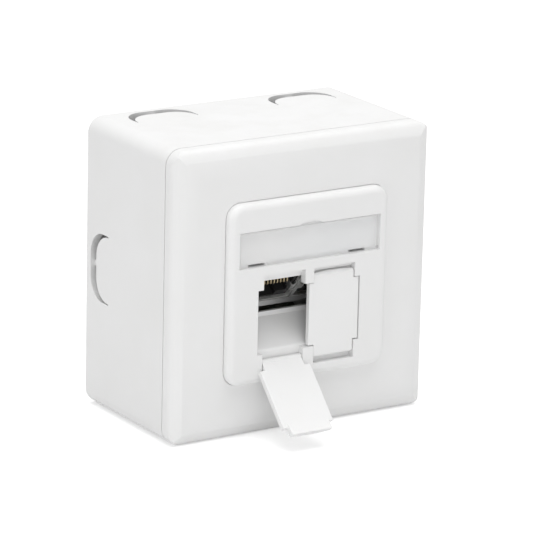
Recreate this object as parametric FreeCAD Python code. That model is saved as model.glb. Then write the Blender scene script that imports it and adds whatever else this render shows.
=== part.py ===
import FreeCAD, Part
import math
import os

# Surface mount jack box: a square back box with a crowned cover frame, and a
# raised centre plate with a label window over two angled network jacks, each
# behind its own bottom-hinged dust flap.
#
# Frame: origin at the centre of the rear face that lies on the wall, +X to
# the right, -Y out of the wall, +Z up. Lengths are millimetres.

# ---------------------------------------------------------------- back box
BOX_SIDE = 80.0
BOX_DEPTH = 40.4
BOX_WALL = 2.4
BOX_FLOOR = 2.0
BOX_CORNER_R = 4.4
RIM_THICK = 1.1
RIM_RISE = 1.6
RIM_ROOT = 4.0
RIM_BITE = 0.1
SEAM_GAP = 0.3
PILLAR_HALF = 3.6
PILLAR_SPACING = 60.0
PILOT_R = 1.3
PILOT_DEPTH = 16.0
RIB_THICK = 1.6
RIB_CLEAR_OF_KNOCKOUT = 3.0
WALL_SLOT_R = 2.2
WALL_SLOT_LENGTH = 9.0
WALL_SLOT_SPACING = 60.0
REAR_KNOCKOUT_HALF = 9.0
REAR_KNOCKOUT_GROOVE = 1.2
REAR_KNOCKOUT_WEB = 0.8

# Crescent-shaped knockout slots in the side walls, their points to the front
KNOCKOUT_LENGTH = 19.0
KNOCKOUT_START = 2.1
KNOCKOUT_SLOT = 3.1
KNOCKOUT_CORNER_R = 6.4
KNOCKOUT_TIP = 0.35
KNOCKOUT_WEB_WIDTH = 1.5
KNOCKOUT_WEB_THICK = 1.0
KNOCKOUT_SIDE_X = 22.0

# ------------------------------------------------------------- cover frame
FRAME_WALL = 2.0
FRAME_RISE = 5.6
CROWN_WIDTH = 8.0
CROWN_SAG = 2.7
CROWN_EDGE_R = 2.5
FRAME_OPENING_GAP = 0.12
FRAME_LEDGE_WIDTH = 1.9
FRAME_LEDGE_THICK = 2.0

# ------------------------------------------------------------ centre plate
PLATE_SIDE = 49.7
PLATE_PROUD = 2.5
PLATE_SINK = 1.7
PLATE_CORNER_R = 4.2
PLATE_EDGE_R = 2.05
PLATE_WALL = 2.2
PLATE_RIM = 2.0

# Label recess with its tilting window
RECESS_WIDTH = 44.0
RECESS_HEIGHT = 10.0
RECESS_BOTTOM_Z = 7.3
RECESS_DEPTH = 1.85
RECESS_BACKING = 1.35
RECESS_BACKING_MARGIN = 1.5
NOTCH_CHORD = 7.2
NOTCH_RISE = 0.9
NOTCH_DEPTH = 1.5
WINDOW_SIDE_GAP = 0.9
WINDOW_BOTTOM_GAP = 0.2
WINDOW_TOP_GAP = 0.8
WINDOW_SET_BACK = 0.7
WINDOW_THICK = 0.8
WINDOW_TONGUE_WIDTH = 11.4
WINDOW_TONGUE_GAP = 0.12
WINDOW_NOTCH_WIDTH = 5.8
WINDOW_NOTCH_CENTRE_X = 15.7
WINDOW_NOTCH_HEIGHT = 0.65
WINDOW_PIN_R = 0.28
WINDOW_PIN_LENGTH = 0.7
CARD_THICK = 0.25
CARD_SIDE_GAP = 1.0
CARD_END_GAP = 0.75

# Jack aperture, closed by two flaps that meet at the middle
APERTURE_HALF = 15.95
APERTURE_TOP_Z = 0.95
APERTURE_BOTTOM_Z = -16.7
TONGUE_SLOT_INNER_X = 1.35
TONGUE_SLOT_OUTER_X = 14.3
TONGUE_SLOT_TOP_Z = 4.3
TONGUE_SLOT_CHAMFER = 0.6
HINGE_POCKET_INNER_X = 1.65
HINGE_POCKET_OUTER_X = 14.4

# Dust flaps
FLAP_GAP = 0.25
FLAP_MIDDLE_GAP = 0.15
FLAP_SET_BACK = 0.3
FLAP_THICK = 1.4
FLAP_TOP_BOW = 0.3
FLAP_SHOULDER_R = 0.5
FLAP_NOSE_LENGTH = 4.2
FLAP_NOSE_RISE = 0.6
FLAP_NOSE_FLAT = 0.6
FLAP_BEVEL_HEIGHT = 0.95
FLAP_BEVEL_DEPTH = 0.9
FLAP_EAR_GAP = 0.3
FLAP_OPEN_DEG = 136.0
HINGE_Z = -19.2
HINGE_BARREL_R = 0.8
HINGE_PIN_R = 0.55
HINGE_PIN_LENGTH = 0.95
RUNNING_FIT = 0.07
STOP_GAP = 0.05

# Ramp that leads a plug up into the jacks
RAMP_HALF = 16.2
RAMP_TILT_DEG = 45.0
RAMP_SET_BACK = 9.1
RAMP_WALL = 1.8
RAMP_CREST_Z = -16.2
RAMP_CREST_R = 0.9
RAMP_SAG = 0.4
RAMP_LIP_RISE = 1.25
RAMP_LIP_THICK = 1.0
RAMP_FOOT_BELOW_STOP = 1.8

# --------------------------------------------------- steel mounting support
SUPPORT_SIDE_GAP = 1.6
SUPPORT_CHAMFER = 3.0
SUPPORT_THICK = 1.0
SUPPORT_RISE = 0.9
SUPPORT_OPENING_GAP = 0.9
SUPPORT_OPENING_TOP_Z = 17.5
SUPPORT_OPENING_BOTTOM_Z = -24.0
SUPPORT_SLOT_R = 1.8
SUPPORT_SLOT_LENGTH = 8.0
SUPPORT_SCREW_R = 1.2
SUPPORT_SCREW_HEAD_HALF = 2.75
SUPPORT_SCREW_LENGTH = 14.0
SCREW_HEAD_RISE = 1.3
SCREW_FIT = 0.1

# ------------------------------------------------------------------- jacks
JACK_TILT_DEG = 45.0
JACK_SIDE_GAP = 0.8
JACK_SET_BACK = 6.46
JACK_FACE_Z = -1.66
JACK_WIDTH = 15.2
JACK_HEIGHT = 11.0
JACK_LENGTH = 15.0
SHIELD_THICK = 0.35
SHIELD_HEM_THICK = 0.8
SHIELD_HEM_LENGTH = 1.0
SHIELD_FIT = 0.05
SHIELD_SPRING_WIDTH = 2.2
SHIELD_SPRING_REACH = 2.6
PORT_WIDTH = 11.9
PORT_TOP_W = 4.1
PORT_BOTTOM_W = -2.7
PORT_DEPTH = 12.5
LATCH_WIDTH = 6.2
LATCH_BOTTOM_W = -4.5
LATCH_DEPTH = 10.0
CONTACT_COUNT = 8
CONTACT_PITCH = 1.016
CONTACT_WIDTH = 0.45
CONTACT_THICK = 0.3
CONTACT_CHANNEL_MARGIN = 0.35
CONTACT_BEND_S = 1.6
CONTACT_TIP_S = 9.0
CONTACT_TIP_W = 1.3
CONTACT_REAR_S = 13.6

# ----------------------------------------------------------- circuit board
BOARD_THICK = 1.6
BOARD_MARGIN = 0.3
BOARD_START_S = 2.5
BOARD_LENGTH = 24.5
BOARD_GAP = 0.1

# -------------------------------------------------- terminal blocks (wires)
TERMINAL_SIDE_GAP = 0.2
TERMINAL_START_S = 11.0
TERMINAL_LENGTH = 14.0
TERMINAL_HEIGHT = 10.5
TERMINAL_COLUMNS = 4
TERMINAL_PITCH = 2.8
TERMINAL_SLOT_WIDTH = 0.7
TERMINAL_SLOT_LENGTH = 4.4
TERMINAL_SLOT_DEPTH = 7.5
BLADE_THICK = 0.4
BLADE_LENGTH = 3.0
BLADE_HEIGHT = 6.6
BLADE_MOUTH = 0.5
BLADE_MOUTH_DEPTH = 4.5

# ------------------------------------------------------- die-cast carrier
CARRIER_BOARD_GAP = 0.6
CARRIER_CHEEK = 1.6
CARRIER_RAIL_WIDTH = 1.4
CARRIER_RAIL_THICK = 1.4
SILL_SET_BACK = 10.8
SILL_TOP_Z = -5.6
SILL_HEIGHT = 1.4
SILL_DEPTH = 1.4
CROSSBAR_SET_BACK = 5.1
CROSSBAR_DEPTH = 3.8
CROSSBAR_HEIGHT = 5.5
PLATE_SCREW_Z = 12.3
PLATE_SCREW_R = 1.3
PLATE_SCREW_HEAD_R = 2.5
PLATE_SCREW_HEAD_RISE = 1.3
PLATE_SCREW_LENGTH = 6.8
PLATE_BOSS_HALF = 4.2
PLATE_BOSS_GAP = 0.3
EAR_WIDTH = 6.2
EAR_BOTTOM_Z = 6.0
EAR_TOP_Z = 15.0
EAR_THICK = 2.0
EAR_GAP = 0.1
EAR_SCREW_OUT = 2.9
EAR_SCREW_Z = 10.5
EAR_SCREW_R = 1.0
EAR_SCREW_HEAD_HALF = 1.9

# ------------------------------------------------- rear shield and clamp
REAR_SHIELD_THICK = 0.5
REAR_SHIELD_START_S = 6.0
REAR_SHIELD_END_S = 29.0
REAR_SHIELD_DROP = 14.3
REAR_SHIELD_SIDE_GAP = 0.4
CABLE_MOUTH_HALF = 4.0
CABLE_MOUTH_HEIGHT = 6.0
CLAMP_TONGUE_HALF = 9.5
CLAMP_TONGUE_LENGTH = 8.0
CLAMP_BAR_THICK = 1.4
CLAMP_BAR_LENGTH = 5.0
CLAMP_BAR_OPENING = 1.4
CLAMP_SADDLE_HALF = 3.0
CLAMP_SCREW_X = 6.8
CLAMP_SCREW_R = 1.1
CLAMP_SCREW_HEAD_HALF = 2.0

# --------------------------------------------------------------- earth tab
EARTH_TAB_WIDTH = 6.3
EARTH_TAB_THICK = 0.8
EARTH_TAB_LENGTH = 12.0
EARTH_TAB_SET_BACK = 30.4
EARTH_TAB_BOTTOM_Z = 4.0
EARTH_TAB_HOLE_R = 0.8

# --------------------------------------------------------- derived planes
RIM_FRONT_Y = -(BOX_DEPTH + RIM_RISE)
FRAME_REAR_Y = -(BOX_DEPTH + SEAM_GAP)
FRAME_FRONT_Y = FRAME_REAR_Y - FRAME_RISE
PLATE_FRONT_Y = FRAME_FRONT_Y - PLATE_PROUD
PLATE_REAR_Y = FRAME_FRONT_Y + PLATE_SINK
PLATE_WALL_Y = PLATE_FRONT_Y + PLATE_WALL
SUPPORT_REAR_Y = -(BOX_DEPTH + SUPPORT_RISE)
SUPPORT_FRONT_Y = SUPPORT_REAR_Y - SUPPORT_THICK
FLAP_FRONT_Y = PLATE_FRONT_Y + FLAP_SET_BACK
FLAP_REAR_Y = FLAP_FRONT_Y + FLAP_THICK
HINGE_Y = FLAP_FRONT_Y + HINGE_BARREL_R
WINDOW_FRONT_Y = PLATE_FRONT_Y + WINDOW_SET_BACK
WINDOW_REAR_Y = WINDOW_FRONT_Y + WINDOW_THICK
WINDOW_AXIS_Y = (WINDOW_FRONT_Y + WINDOW_REAR_Y) / 2
WINDOW_AXIS_Z = RECESS_BOTTOM_Z + WINDOW_BOTTOM_GAP + WINDOW_THICK / 2
RECESS_FLOOR_Y = PLATE_FRONT_Y + RECESS_DEPTH
RECESS_TOP_Z = RECESS_BOTTOM_Z + RECESS_HEIGHT
BOARD_TOP_W = -JACK_HEIGHT / 2 - BOARD_GAP
BOARD_BOTTOM_W = BOARD_TOP_W - BOARD_THICK
REAR_SHIELD_TOP_W = BOARD_BOTTOM_W - BOARD_GAP
REAR_SHIELD_BOTTOM_W = BOARD_BOTTOM_W - REAR_SHIELD_DROP
JACK_FACE_Y = PLATE_FRONT_Y + JACK_SET_BACK
RAMP_BACK_Y = PLATE_FRONT_Y + RAMP_SET_BACK
SILL_FRONT_Y = PLATE_FRONT_Y + SILL_SET_BACK
CROSSBAR_FRONT_Y = PLATE_FRONT_Y + CROSSBAR_SET_BACK
CROSSBAR_REAR_Y = CROSSBAR_FRONT_Y + CROSSBAR_DEPTH
EARTH_TAB_REAR_Y = PLATE_FRONT_Y + EARTH_TAB_SET_BACK
CUT_OVERRUN = 1.0

# --------------------------------------------------------- derived widths
RIM_OUTER = BOX_SIDE - 2 * (BOX_WALL - RIM_BITE)
RIM_INNER = RIM_OUTER - 2 * RIM_THICK
SUPPORT_SIDE = RIM_INNER - 2 * SUPPORT_SIDE_GAP
JACK_PITCH = JACK_WIDTH + JACK_SIDE_GAP
BOARD_HALF = (JACK_PITCH + JACK_WIDTH) / 2 + BOARD_MARGIN
CARRIER_INNER = BOARD_HALF + CARRIER_BOARD_GAP
CARRIER_HALF = CARRIER_INNER + CARRIER_CHEEK
SUPPORT_OPENING_HALF = CARRIER_HALF + SUPPORT_OPENING_GAP
EAR_SCREW_X = CARRIER_HALF + EAR_SCREW_OUT
REAR_SHIELD_HALF = CARRIER_INNER - CARRIER_RAIL_WIDTH - REAR_SHIELD_SIDE_GAP
TERMINAL_WIDTH = 2 * (REAR_SHIELD_HALF - REAR_SHIELD_THICK - TERMINAL_SIDE_GAP) - JACK_PITCH


def stop_edge_z():
    """Height of the plate edge that an open flap's outer face comes to rest on."""
    angle = math.radians(FLAP_OPEN_DEG)
    forward = PLATE_FRONT_Y - HINGE_Y
    reach = HINGE_BARREL_R + STOP_GAP
    return HINGE_Z - (reach + forward * math.cos(angle)) / math.sin(angle)


STOP_EDGE_Z = stop_edge_z()


# ------------------------------------------------------------ small helpers
def block(x0, x1, y0, y1, z0, z1):
    """Box between two opposite corners, given as pairs along X, Y and Z."""
    size = [abs(x1 - x0), abs(y1 - y0), abs(z1 - z0)]
    return Part.makeBox(*size, FreeCAD.Vector(min(x0, x1), min(y0, y1), min(z0, z1)))


def rod_y(x, z, radius, y0, y1):
    """Cylinder along Y."""
    start = FreeCAD.Vector(x, min(y0, y1), z)
    return Part.makeCylinder(radius, abs(y1 - y0), start, FreeCAD.Vector(0, 1, 0))


def rod_x(y, z, radius, x0, x1):
    """Cylinder along X."""
    start = FreeCAD.Vector(min(x0, x1), y, z)
    return Part.makeCylinder(radius, abs(x1 - x0), start, FreeCAD.Vector(1, 0, 0))


def rounded_wire(width, height, radius, y, x=0.0, z=0.0):
    """Rounded rectangle in an XZ plane, centred on (x, z)."""
    hw = width / 2
    hh = height / 2
    diagonal = radius * (1 - math.sqrt(0.5))
    edges = []
    corners = ((1, 1), (-1, 1), (-1, -1), (1, -1))
    for index, (sx, sz) in enumerate(corners):
        side = FreeCAD.Vector(x + sx * hw, y, z + sz * (hh - radius))
        middle = FreeCAD.Vector(x + sx * (hw - diagonal), y, z + sz * (hh - diagonal))
        top = FreeCAD.Vector(x + sx * (hw - radius), y, z + sz * hh)
        start, end = (side, top) if index % 2 == 0 else (top, side)
        if edges:
            edges.append(Part.LineSegment(previous_end, start).toShape())
        else:
            first_start = start
        edges.append(Part.Arc(start, middle, end).toShape())
        previous_end = end
    edges.append(Part.LineSegment(previous_end, first_start).toShape())
    return Part.Wire(edges)


def rounded_prism(width, height, radius, y0, y1, x=0.0, z=0.0):
    """Rounded rectangle in XZ, extruded along Y."""
    face = Part.Face(rounded_wire(width, height, radius, min(y0, y1), x, z))
    return face.extrude(FreeCAD.Vector(0, abs(y1 - y0), 0))


def slot_y(x, z, radius, length, along_x, y0, y1):
    """Round-ended slot through an XZ wall, its long way along X or Z."""
    width = length if along_x else 2 * radius
    height = 2 * radius if along_x else length
    body = block(x - width / 2 + radius * along_x, x + width / 2 - radius * along_x, y0, y1,
                 z - height / 2 + radius * (not along_x), z + height / 2 - radius * (not along_x))
    offset = length / 2 - radius
    for sign in (-1, 1):
        end_x = x + sign * offset * along_x
        end_z = z + sign * offset * (not along_x)
        body = body.fuse(rod_y(end_x, end_z, radius, y0, y1))
    return body


def prism_x(points, x0, x1):
    """Polygon of (y, z) points, extruded along X."""
    start = min(x0, x1)
    corners = [FreeCAD.Vector(start, y, z) for y, z in points]
    face = Part.Face(Part.makePolygon(corners + corners[:1]))
    return face.extrude(FreeCAD.Vector(abs(x1 - x0), 0, 0))


def prism_y(points, y0, y1):
    """Polygon of (x, z) points, extruded along Y."""
    start = min(y0, y1)
    corners = [FreeCAD.Vector(x, start, z) for x, z in points]
    face = Part.Face(Part.makePolygon(corners + corners[:1]))
    return face.extrude(FreeCAD.Vector(0, abs(y1 - y0), 0))


def mirrored(shape):
    """Copy of a shape on the other side of the middle plane."""
    return shape.mirror(FreeCAD.Vector(0, 0, 0), FreeCAD.Vector(1, 0, 0))


def tilted(shape, x=0.0):
    """Shape from a jack's own frame set into the box.

    The jack frame has X across, Y along the way a plug goes in and Z towards
    the contacts, with its origin at the middle of the jack's face.
    """
    placed = shape.copy()
    placed.rotate(FreeCAD.Vector(0, 0, 0), FreeCAD.Vector(1, 0, 0), JACK_TILT_DEG)
    placed.translate(FreeCAD.Vector(x, JACK_FACE_Y, JACK_FACE_Z))
    return placed


def one_solid(shape):
    """Cleaned shape, as a plain solid where it is only one."""
    clean = shape.removeSplitter()
    return clean.Solids[0] if len(clean.Solids) == 1 else clean


def group(shapes):
    """Separate solids kept together in one node."""
    return Part.makeCompound([one_solid(shape) for shape in shapes])


# ------------------------------------------------------------------ back box
def knockout_outline(shift):
    """Rear half of the knockout's rounded outline, moved forward by a shift."""
    half = KNOCKOUT_LENGTH / 2
    radius = KNOCKOUT_CORNER_R
    diagonal = radius * (1 - math.sqrt(0.5))
    rear = -(KNOCKOUT_START + shift)

    def point(x, back):
        return FreeCAD.Vector(x, rear - back, -BOX_WALL - CUT_OVERRUN)
    right = [point(half, radius), point(half - diagonal, diagonal), point(half - radius, 0)]
    left = [point(-half + radius, 0), point(-half + diagonal, diagonal), point(-half, radius)]
    return right, left


def knockout_cutter():
    """Cutter for one knockout in a wall whose outer face is at z = 0.

    The wall's rear edge is at y = 0 and its front lies towards -Y. The slot
    is a crescent between two equal outlines, one moved forward of the other,
    with blunt points and a thin web left across the inner side of its back.
    """
    right, left = knockout_outline(0)
    near_right, near_left = knockout_outline(KNOCKOUT_SLOT)
    tip = FreeCAD.Vector(KNOCKOUT_TIP, 0, 0)
    edges = [
        Part.Arc(*right).toShape(),
        Part.LineSegment(right[-1], left[0]).toShape(),
        Part.Arc(*left).toShape(),
        Part.LineSegment(left[-1], near_left[-1]).toShape(),
        Part.LineSegment(near_left[-1], near_left[-1] + tip).toShape(),
        Part.Arc(near_left[-1] + tip, near_left[1] + tip * 0.5, near_left[0]).toShape(),
        Part.LineSegment(near_left[0], near_right[-1]).toShape(),
        Part.Arc(near_right[-1], near_right[1] - tip * 0.5, near_right[0] - tip).toShape(),
        Part.LineSegment(near_right[0] - tip, near_right[0]).toShape(),
        Part.LineSegment(near_right[0], right[0]).toShape(),
    ]
    slot = Part.Face(Part.Wire(edges)).extrude(FreeCAD.Vector(0, 0, BOX_WALL + 2 * CUT_OVERRUN))
    web_low = -BOX_WALL - CUT_OVERRUN
    web_high = -BOX_WALL + KNOCKOUT_WEB_THICK
    web_half = KNOCKOUT_WEB_WIDTH / 2
    web_front = -(KNOCKOUT_START + KNOCKOUT_SLOT + CUT_OVERRUN)
    return slot.cut(block(-web_half, web_half, web_front, 0, web_low, web_high))


def place_on_wall(cutter, turn_deg, along):
    """Knockout cutter turned about Y onto one of the four walls."""
    placed = cutter.copy()
    placed.translate(FreeCAD.Vector(along, 0, BOX_SIDE / 2))
    placed.rotate(FreeCAD.Vector(0, 0, 0), FreeCAD.Vector(0, 1, 0), turn_deg)
    return placed


def back_box():
    """Moulded back box: walls, floor, inner rim, screw pillars and cut-outs."""
    inner_side = BOX_SIDE - 2 * BOX_WALL
    inner_r = BOX_CORNER_R - BOX_WALL
    body = rounded_prism(BOX_SIDE, BOX_SIDE, BOX_CORNER_R, -BOX_DEPTH, 0)
    body = body.cut(rounded_prism(inner_side, inner_side, inner_r, -BOX_DEPTH - CUT_OVERRUN, -BOX_FLOOR))
    rim = rounded_prism(RIM_OUTER, RIM_OUTER, inner_r, RIM_FRONT_Y, -BOX_DEPTH + RIM_ROOT)
    rim_half = RIM_INNER / 2
    rim = rim.cut(block(-rim_half, rim_half, RIM_FRONT_Y - CUT_OVERRUN, -BOX_DEPTH + RIM_ROOT + CUT_OVERRUN,
                        -rim_half, rim_half))
    body = body.fuse(rim)
    rib_rear = -(KNOCKOUT_START + KNOCKOUT_SLOT + KNOCKOUT_CORNER_R + RIB_CLEAR_OF_KNOCKOUT)
    for sign in (-1, 1):
        x = sign * PILLAR_SPACING / 2
        wall_x = sign * (BOX_SIDE - BOX_WALL) / 2
        body = body.fuse(block(x - PILLAR_HALF, x + PILLAR_HALF, SUPPORT_REAR_Y, -BOX_FLOOR / 2,
                               -PILLAR_HALF, PILLAR_HALF))
        body = body.fuse(block(x, wall_x, -BOX_DEPTH + RIM_ROOT, rib_rear, -RIB_THICK / 2, RIB_THICK / 2))
        body = body.cut(rod_y(x, 0, PILOT_R, SUPPORT_REAR_Y - CUT_OVERRUN, SUPPORT_REAR_Y + PILOT_DEPTH))
    for sign in (-1, 1):
        body = body.cut(slot_y(0, sign * WALL_SLOT_SPACING / 2, WALL_SLOT_R, WALL_SLOT_LENGTH, False,
                               -BOX_FLOOR - CUT_OVERRUN, CUT_OVERRUN))
    inner = REAR_KNOCKOUT_HALF
    outer = inner + REAR_KNOCKOUT_GROOVE
    groove_front = -BOX_FLOOR - CUT_OVERRUN
    groove = block(-outer, outer, groove_front, -REAR_KNOCKOUT_WEB, -outer, outer)
    body = body.cut(groove.cut(block(-inner, inner, groove_front, 0, -inner, inner)))
    cutter = knockout_cutter()
    places = [(0, -KNOCKOUT_SIDE_X), (0, KNOCKOUT_SIDE_X), (90, 0)]
    places += [(180, -KNOCKOUT_SIDE_X), (180, KNOCKOUT_SIDE_X), (270, 0)]
    for turn_deg, along in places:
        body = body.cut(place_on_wall(cutter, turn_deg, along))
    return one_solid(body)


# --------------------------------------------------------------- cover frame
def crown_profile(inset, rear_y):
    """Cross-section of the crowned frame in the (x, y) plane, inset from its skin."""
    half = BOX_SIDE / 2 - inset
    front = FRAME_FRONT_Y + inset
    flat_half = BOX_SIDE / 2 - CROWN_WIDTH
    radius = (CROWN_WIDTH ** 2 + CROWN_SAG ** 2) / (2 * CROWN_SAG)
    centre_y = FRAME_FRONT_Y + radius
    crown_r = radius - inset
    edge_r = max(CROWN_EDGE_R - inset, CROWN_EDGE_R / 2)
    edge_x = half - edge_r
    edge_y = centre_y - math.sqrt((crown_r - edge_r) ** 2 - (edge_x - flat_half) ** 2)
    edge_angle = math.atan2(edge_y - centre_y, edge_x - flat_half)
    crown_middle = (edge_angle - math.pi / 2) / 2
    edge_middle = edge_angle / 2

    def side(sign):
        def point(x, y):
            return FreeCAD.Vector(sign * x, y, 0)
        rear = point(half, rear_y)
        low = point(half, edge_y)
        bend = point(edge_x + edge_r * math.cos(edge_middle), edge_y + edge_r * math.sin(edge_middle))
        meet = point(flat_half + crown_r * math.cos(edge_angle), centre_y + crown_r * math.sin(edge_angle))
        rise = point(flat_half + crown_r * math.cos(crown_middle), centre_y + crown_r * math.sin(crown_middle))
        flat = point(flat_half, front)
        return [rear, low, bend, meet, rise, flat]

    right = side(1)
    left = side(-1)
    edges = []
    for rear, low, bend, meet, rise, flat in (right, left):
        edges.append(Part.LineSegment(rear, low).toShape())
        edges.append(Part.Arc(low, bend, meet).toShape())
        edges.append(Part.Arc(meet, rise, flat).toShape())
    edges.append(Part.LineSegment(right[-1], left[-1]).toShape())
    edges.append(Part.LineSegment(left[0], right[0]).toShape())
    return Part.Wire(Part.__sortEdges__(edges))


def crowned_block(inset, rear_y):
    """Solid with the crown on all four sides, mitred at its corners."""
    length = BOX_SIDE + 2 * CUT_OVERRUN
    across = Part.Face(crown_profile(inset, rear_y)).extrude(FreeCAD.Vector(0, 0, length))
    across.translate(FreeCAD.Vector(0, 0, -length / 2))
    upright = across.copy()
    upright.rotate(FreeCAD.Vector(0, 0, 0), FreeCAD.Vector(0, 1, 0), 90)
    side = BOX_SIDE - 2 * inset
    column = rounded_prism(side, side, BOX_CORNER_R - inset, FRAME_FRONT_Y, rear_y)
    return across.common(upright).common(column)


def cover_frame():
    """Crowned cover frame with a ledge that the centre plate clamps."""
    opening = PLATE_SIDE + 2 * FRAME_OPENING_GAP
    opening_r = PLATE_CORNER_R + FRAME_OPENING_GAP
    ledge_inner = opening - 2 * FRAME_LEDGE_WIDTH
    ledge_outer = opening + 2 * FRAME_WALL
    ledge_rear = PLATE_REAR_Y + FRAME_LEDGE_THICK
    shell = crowned_block(0, FRAME_REAR_Y).cut(crowned_block(FRAME_WALL, FRAME_REAR_Y + CUT_OVERRUN))
    ring = rounded_prism(ledge_outer, ledge_outer, opening_r + FRAME_WALL, FRAME_FRONT_Y + FRAME_WALL / 2, ledge_rear)
    shell = shell.fuse(ring)
    shell = shell.cut(rounded_prism(opening, opening, opening_r, FRAME_FRONT_Y - CUT_OVERRUN, PLATE_REAR_Y))
    through = rounded_prism(ledge_inner, ledge_inner, opening_r - FRAME_LEDGE_WIDTH,
                            FRAME_FRONT_Y, ledge_rear + CUT_OVERRUN)
    return one_solid(shell.cut(through))


# -------------------------------------------------------------- centre plate
def ramp():
    """Concave ramp behind the aperture, from the hinge pockets up to the jacks."""
    slope = math.radians(RAMP_TILT_DEG)
    front = PLATE_WALL_Y
    crest = FreeCAD.Vector(-RAMP_HALF, front, RAMP_CREST_Z)
    run = RAMP_BACK_Y - front
    top = FreeCAD.Vector(-RAMP_HALF, RAMP_BACK_Y, RAMP_CREST_Z + run * math.tan(slope))
    sunk = FreeCAD.Vector(0, math.sin(slope), -math.cos(slope)) * RAMP_SAG
    middle = (crest + top) * 0.5 + sunk
    foot_z = STOP_EDGE_Z - RAMP_FOOT_BELOW_STOP
    under = RAMP_WALL / math.cos(slope)
    lip_rear = RAMP_BACK_Y + RAMP_LIP_THICK
    knee_y = front + RAMP_WALL
    foot = FreeCAD.Vector(-RAMP_HALF, front, foot_z)
    corners = [
        top,
        FreeCAD.Vector(-RAMP_HALF, RAMP_BACK_Y, top.z + RAMP_LIP_RISE),
        FreeCAD.Vector(-RAMP_HALF, lip_rear, top.z + RAMP_LIP_RISE),
        FreeCAD.Vector(-RAMP_HALF, lip_rear, top.z + RAMP_LIP_THICK * math.tan(slope) - under),
        FreeCAD.Vector(-RAMP_HALF, knee_y, RAMP_CREST_Z + RAMP_WALL * math.tan(slope) - under),
        FreeCAD.Vector(-RAMP_HALF, knee_y, foot_z),
        foot,
        crest,
    ]
    edges = [Part.Arc(crest, middle, top).toShape()]
    for start, end in zip(corners, corners[1:]):
        edges.append(Part.LineSegment(start, end).toShape())
    body = Part.Face(Part.Wire(edges)).extrude(FreeCAD.Vector(2 * RAMP_HALF, 0, 0))
    crest_edges = [edge for edge in body.Edges if is_crest_edge(edge)]
    return body.makeFillet(RAMP_CREST_R, crest_edges)


def is_crest_edge(edge):
    """True for the long edge where the ramp meets its own front wall."""
    tolerance = 0.01
    on_front = all(abs(v.Y - PLATE_WALL_Y) < tolerance for v in edge.Vertexes)
    at_crest = all(abs(v.Z - RAMP_CREST_Z) < tolerance for v in edge.Vertexes)
    return on_front and at_crest and edge.Length > RAMP_HALF


def aperture_cutters():
    """Cutters for the jack aperture, the tongue slots and the hinge pockets."""
    front = PLATE_FRONT_Y - CUT_OVERRUN
    through = PLATE_WALL_Y + CUT_OVERRUN
    cutters = [block(-APERTURE_HALF, APERTURE_HALF, front, through, APERTURE_BOTTOM_Z, APERTURE_TOP_Z)]
    slot_low = TONGUE_SLOT_TOP_Z - TONGUE_SLOT_CHAMFER
    bevel = [
        (front, TONGUE_SLOT_TOP_Z + CUT_OVERRUN),
        (PLATE_FRONT_Y + TONGUE_SLOT_CHAMFER, slot_low),
        (PLATE_FRONT_Y + TONGUE_SLOT_CHAMFER, APERTURE_TOP_Z),
        (front, APERTURE_TOP_Z),
    ]
    slot = block(TONGUE_SLOT_INNER_X, TONGUE_SLOT_OUTER_X, front, through, APERTURE_TOP_Z, slot_low)
    slot = slot.fuse(prism_x(bevel, TONGUE_SLOT_INNER_X, TONGUE_SLOT_OUTER_X))
    pocket = block(HINGE_POCKET_INNER_X, HINGE_POCKET_OUTER_X, front, PLATE_WALL_Y,
                   STOP_EDGE_Z, APERTURE_BOTTOM_Z)
    socket_inner = HINGE_POCKET_INNER_X - HINGE_PIN_LENGTH
    socket_outer = HINGE_POCKET_OUTER_X + HINGE_PIN_LENGTH
    socket = rod_x(HINGE_Y, HINGE_Z, HINGE_PIN_R + RUNNING_FIT, socket_inner, socket_outer)
    for cutter in (slot, pocket, socket):
        cutters += [cutter, mirrored(cutter)]
    return cutters


def recess_cutters():
    """Cutters for the label recess, its thumb notch and the window's sockets."""
    front = PLATE_FRONT_Y - CUT_OVERRUN
    half = RECESS_WIDTH / 2
    notch_r = ((NOTCH_CHORD / 2) ** 2 + NOTCH_RISE ** 2) / (2 * NOTCH_RISE)
    notch = rod_y(0, RECESS_TOP_Z + NOTCH_RISE - notch_r, notch_r, front, PLATE_FRONT_Y + NOTCH_DEPTH)
    notch = notch.common(block(-half, half, front, 0, RECESS_BOTTOM_Z + RECESS_HEIGHT / 2, PLATE_SIDE))
    socket_half = half + WINDOW_PIN_LENGTH
    return [
        block(-half, half, front, RECESS_FLOOR_Y, RECESS_BOTTOM_Z, RECESS_TOP_Z),
        notch,
        rod_x(WINDOW_AXIS_Y, WINDOW_AXIS_Z, WINDOW_PIN_R + RUNNING_FIT, -socket_half, socket_half),
    ]


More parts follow.
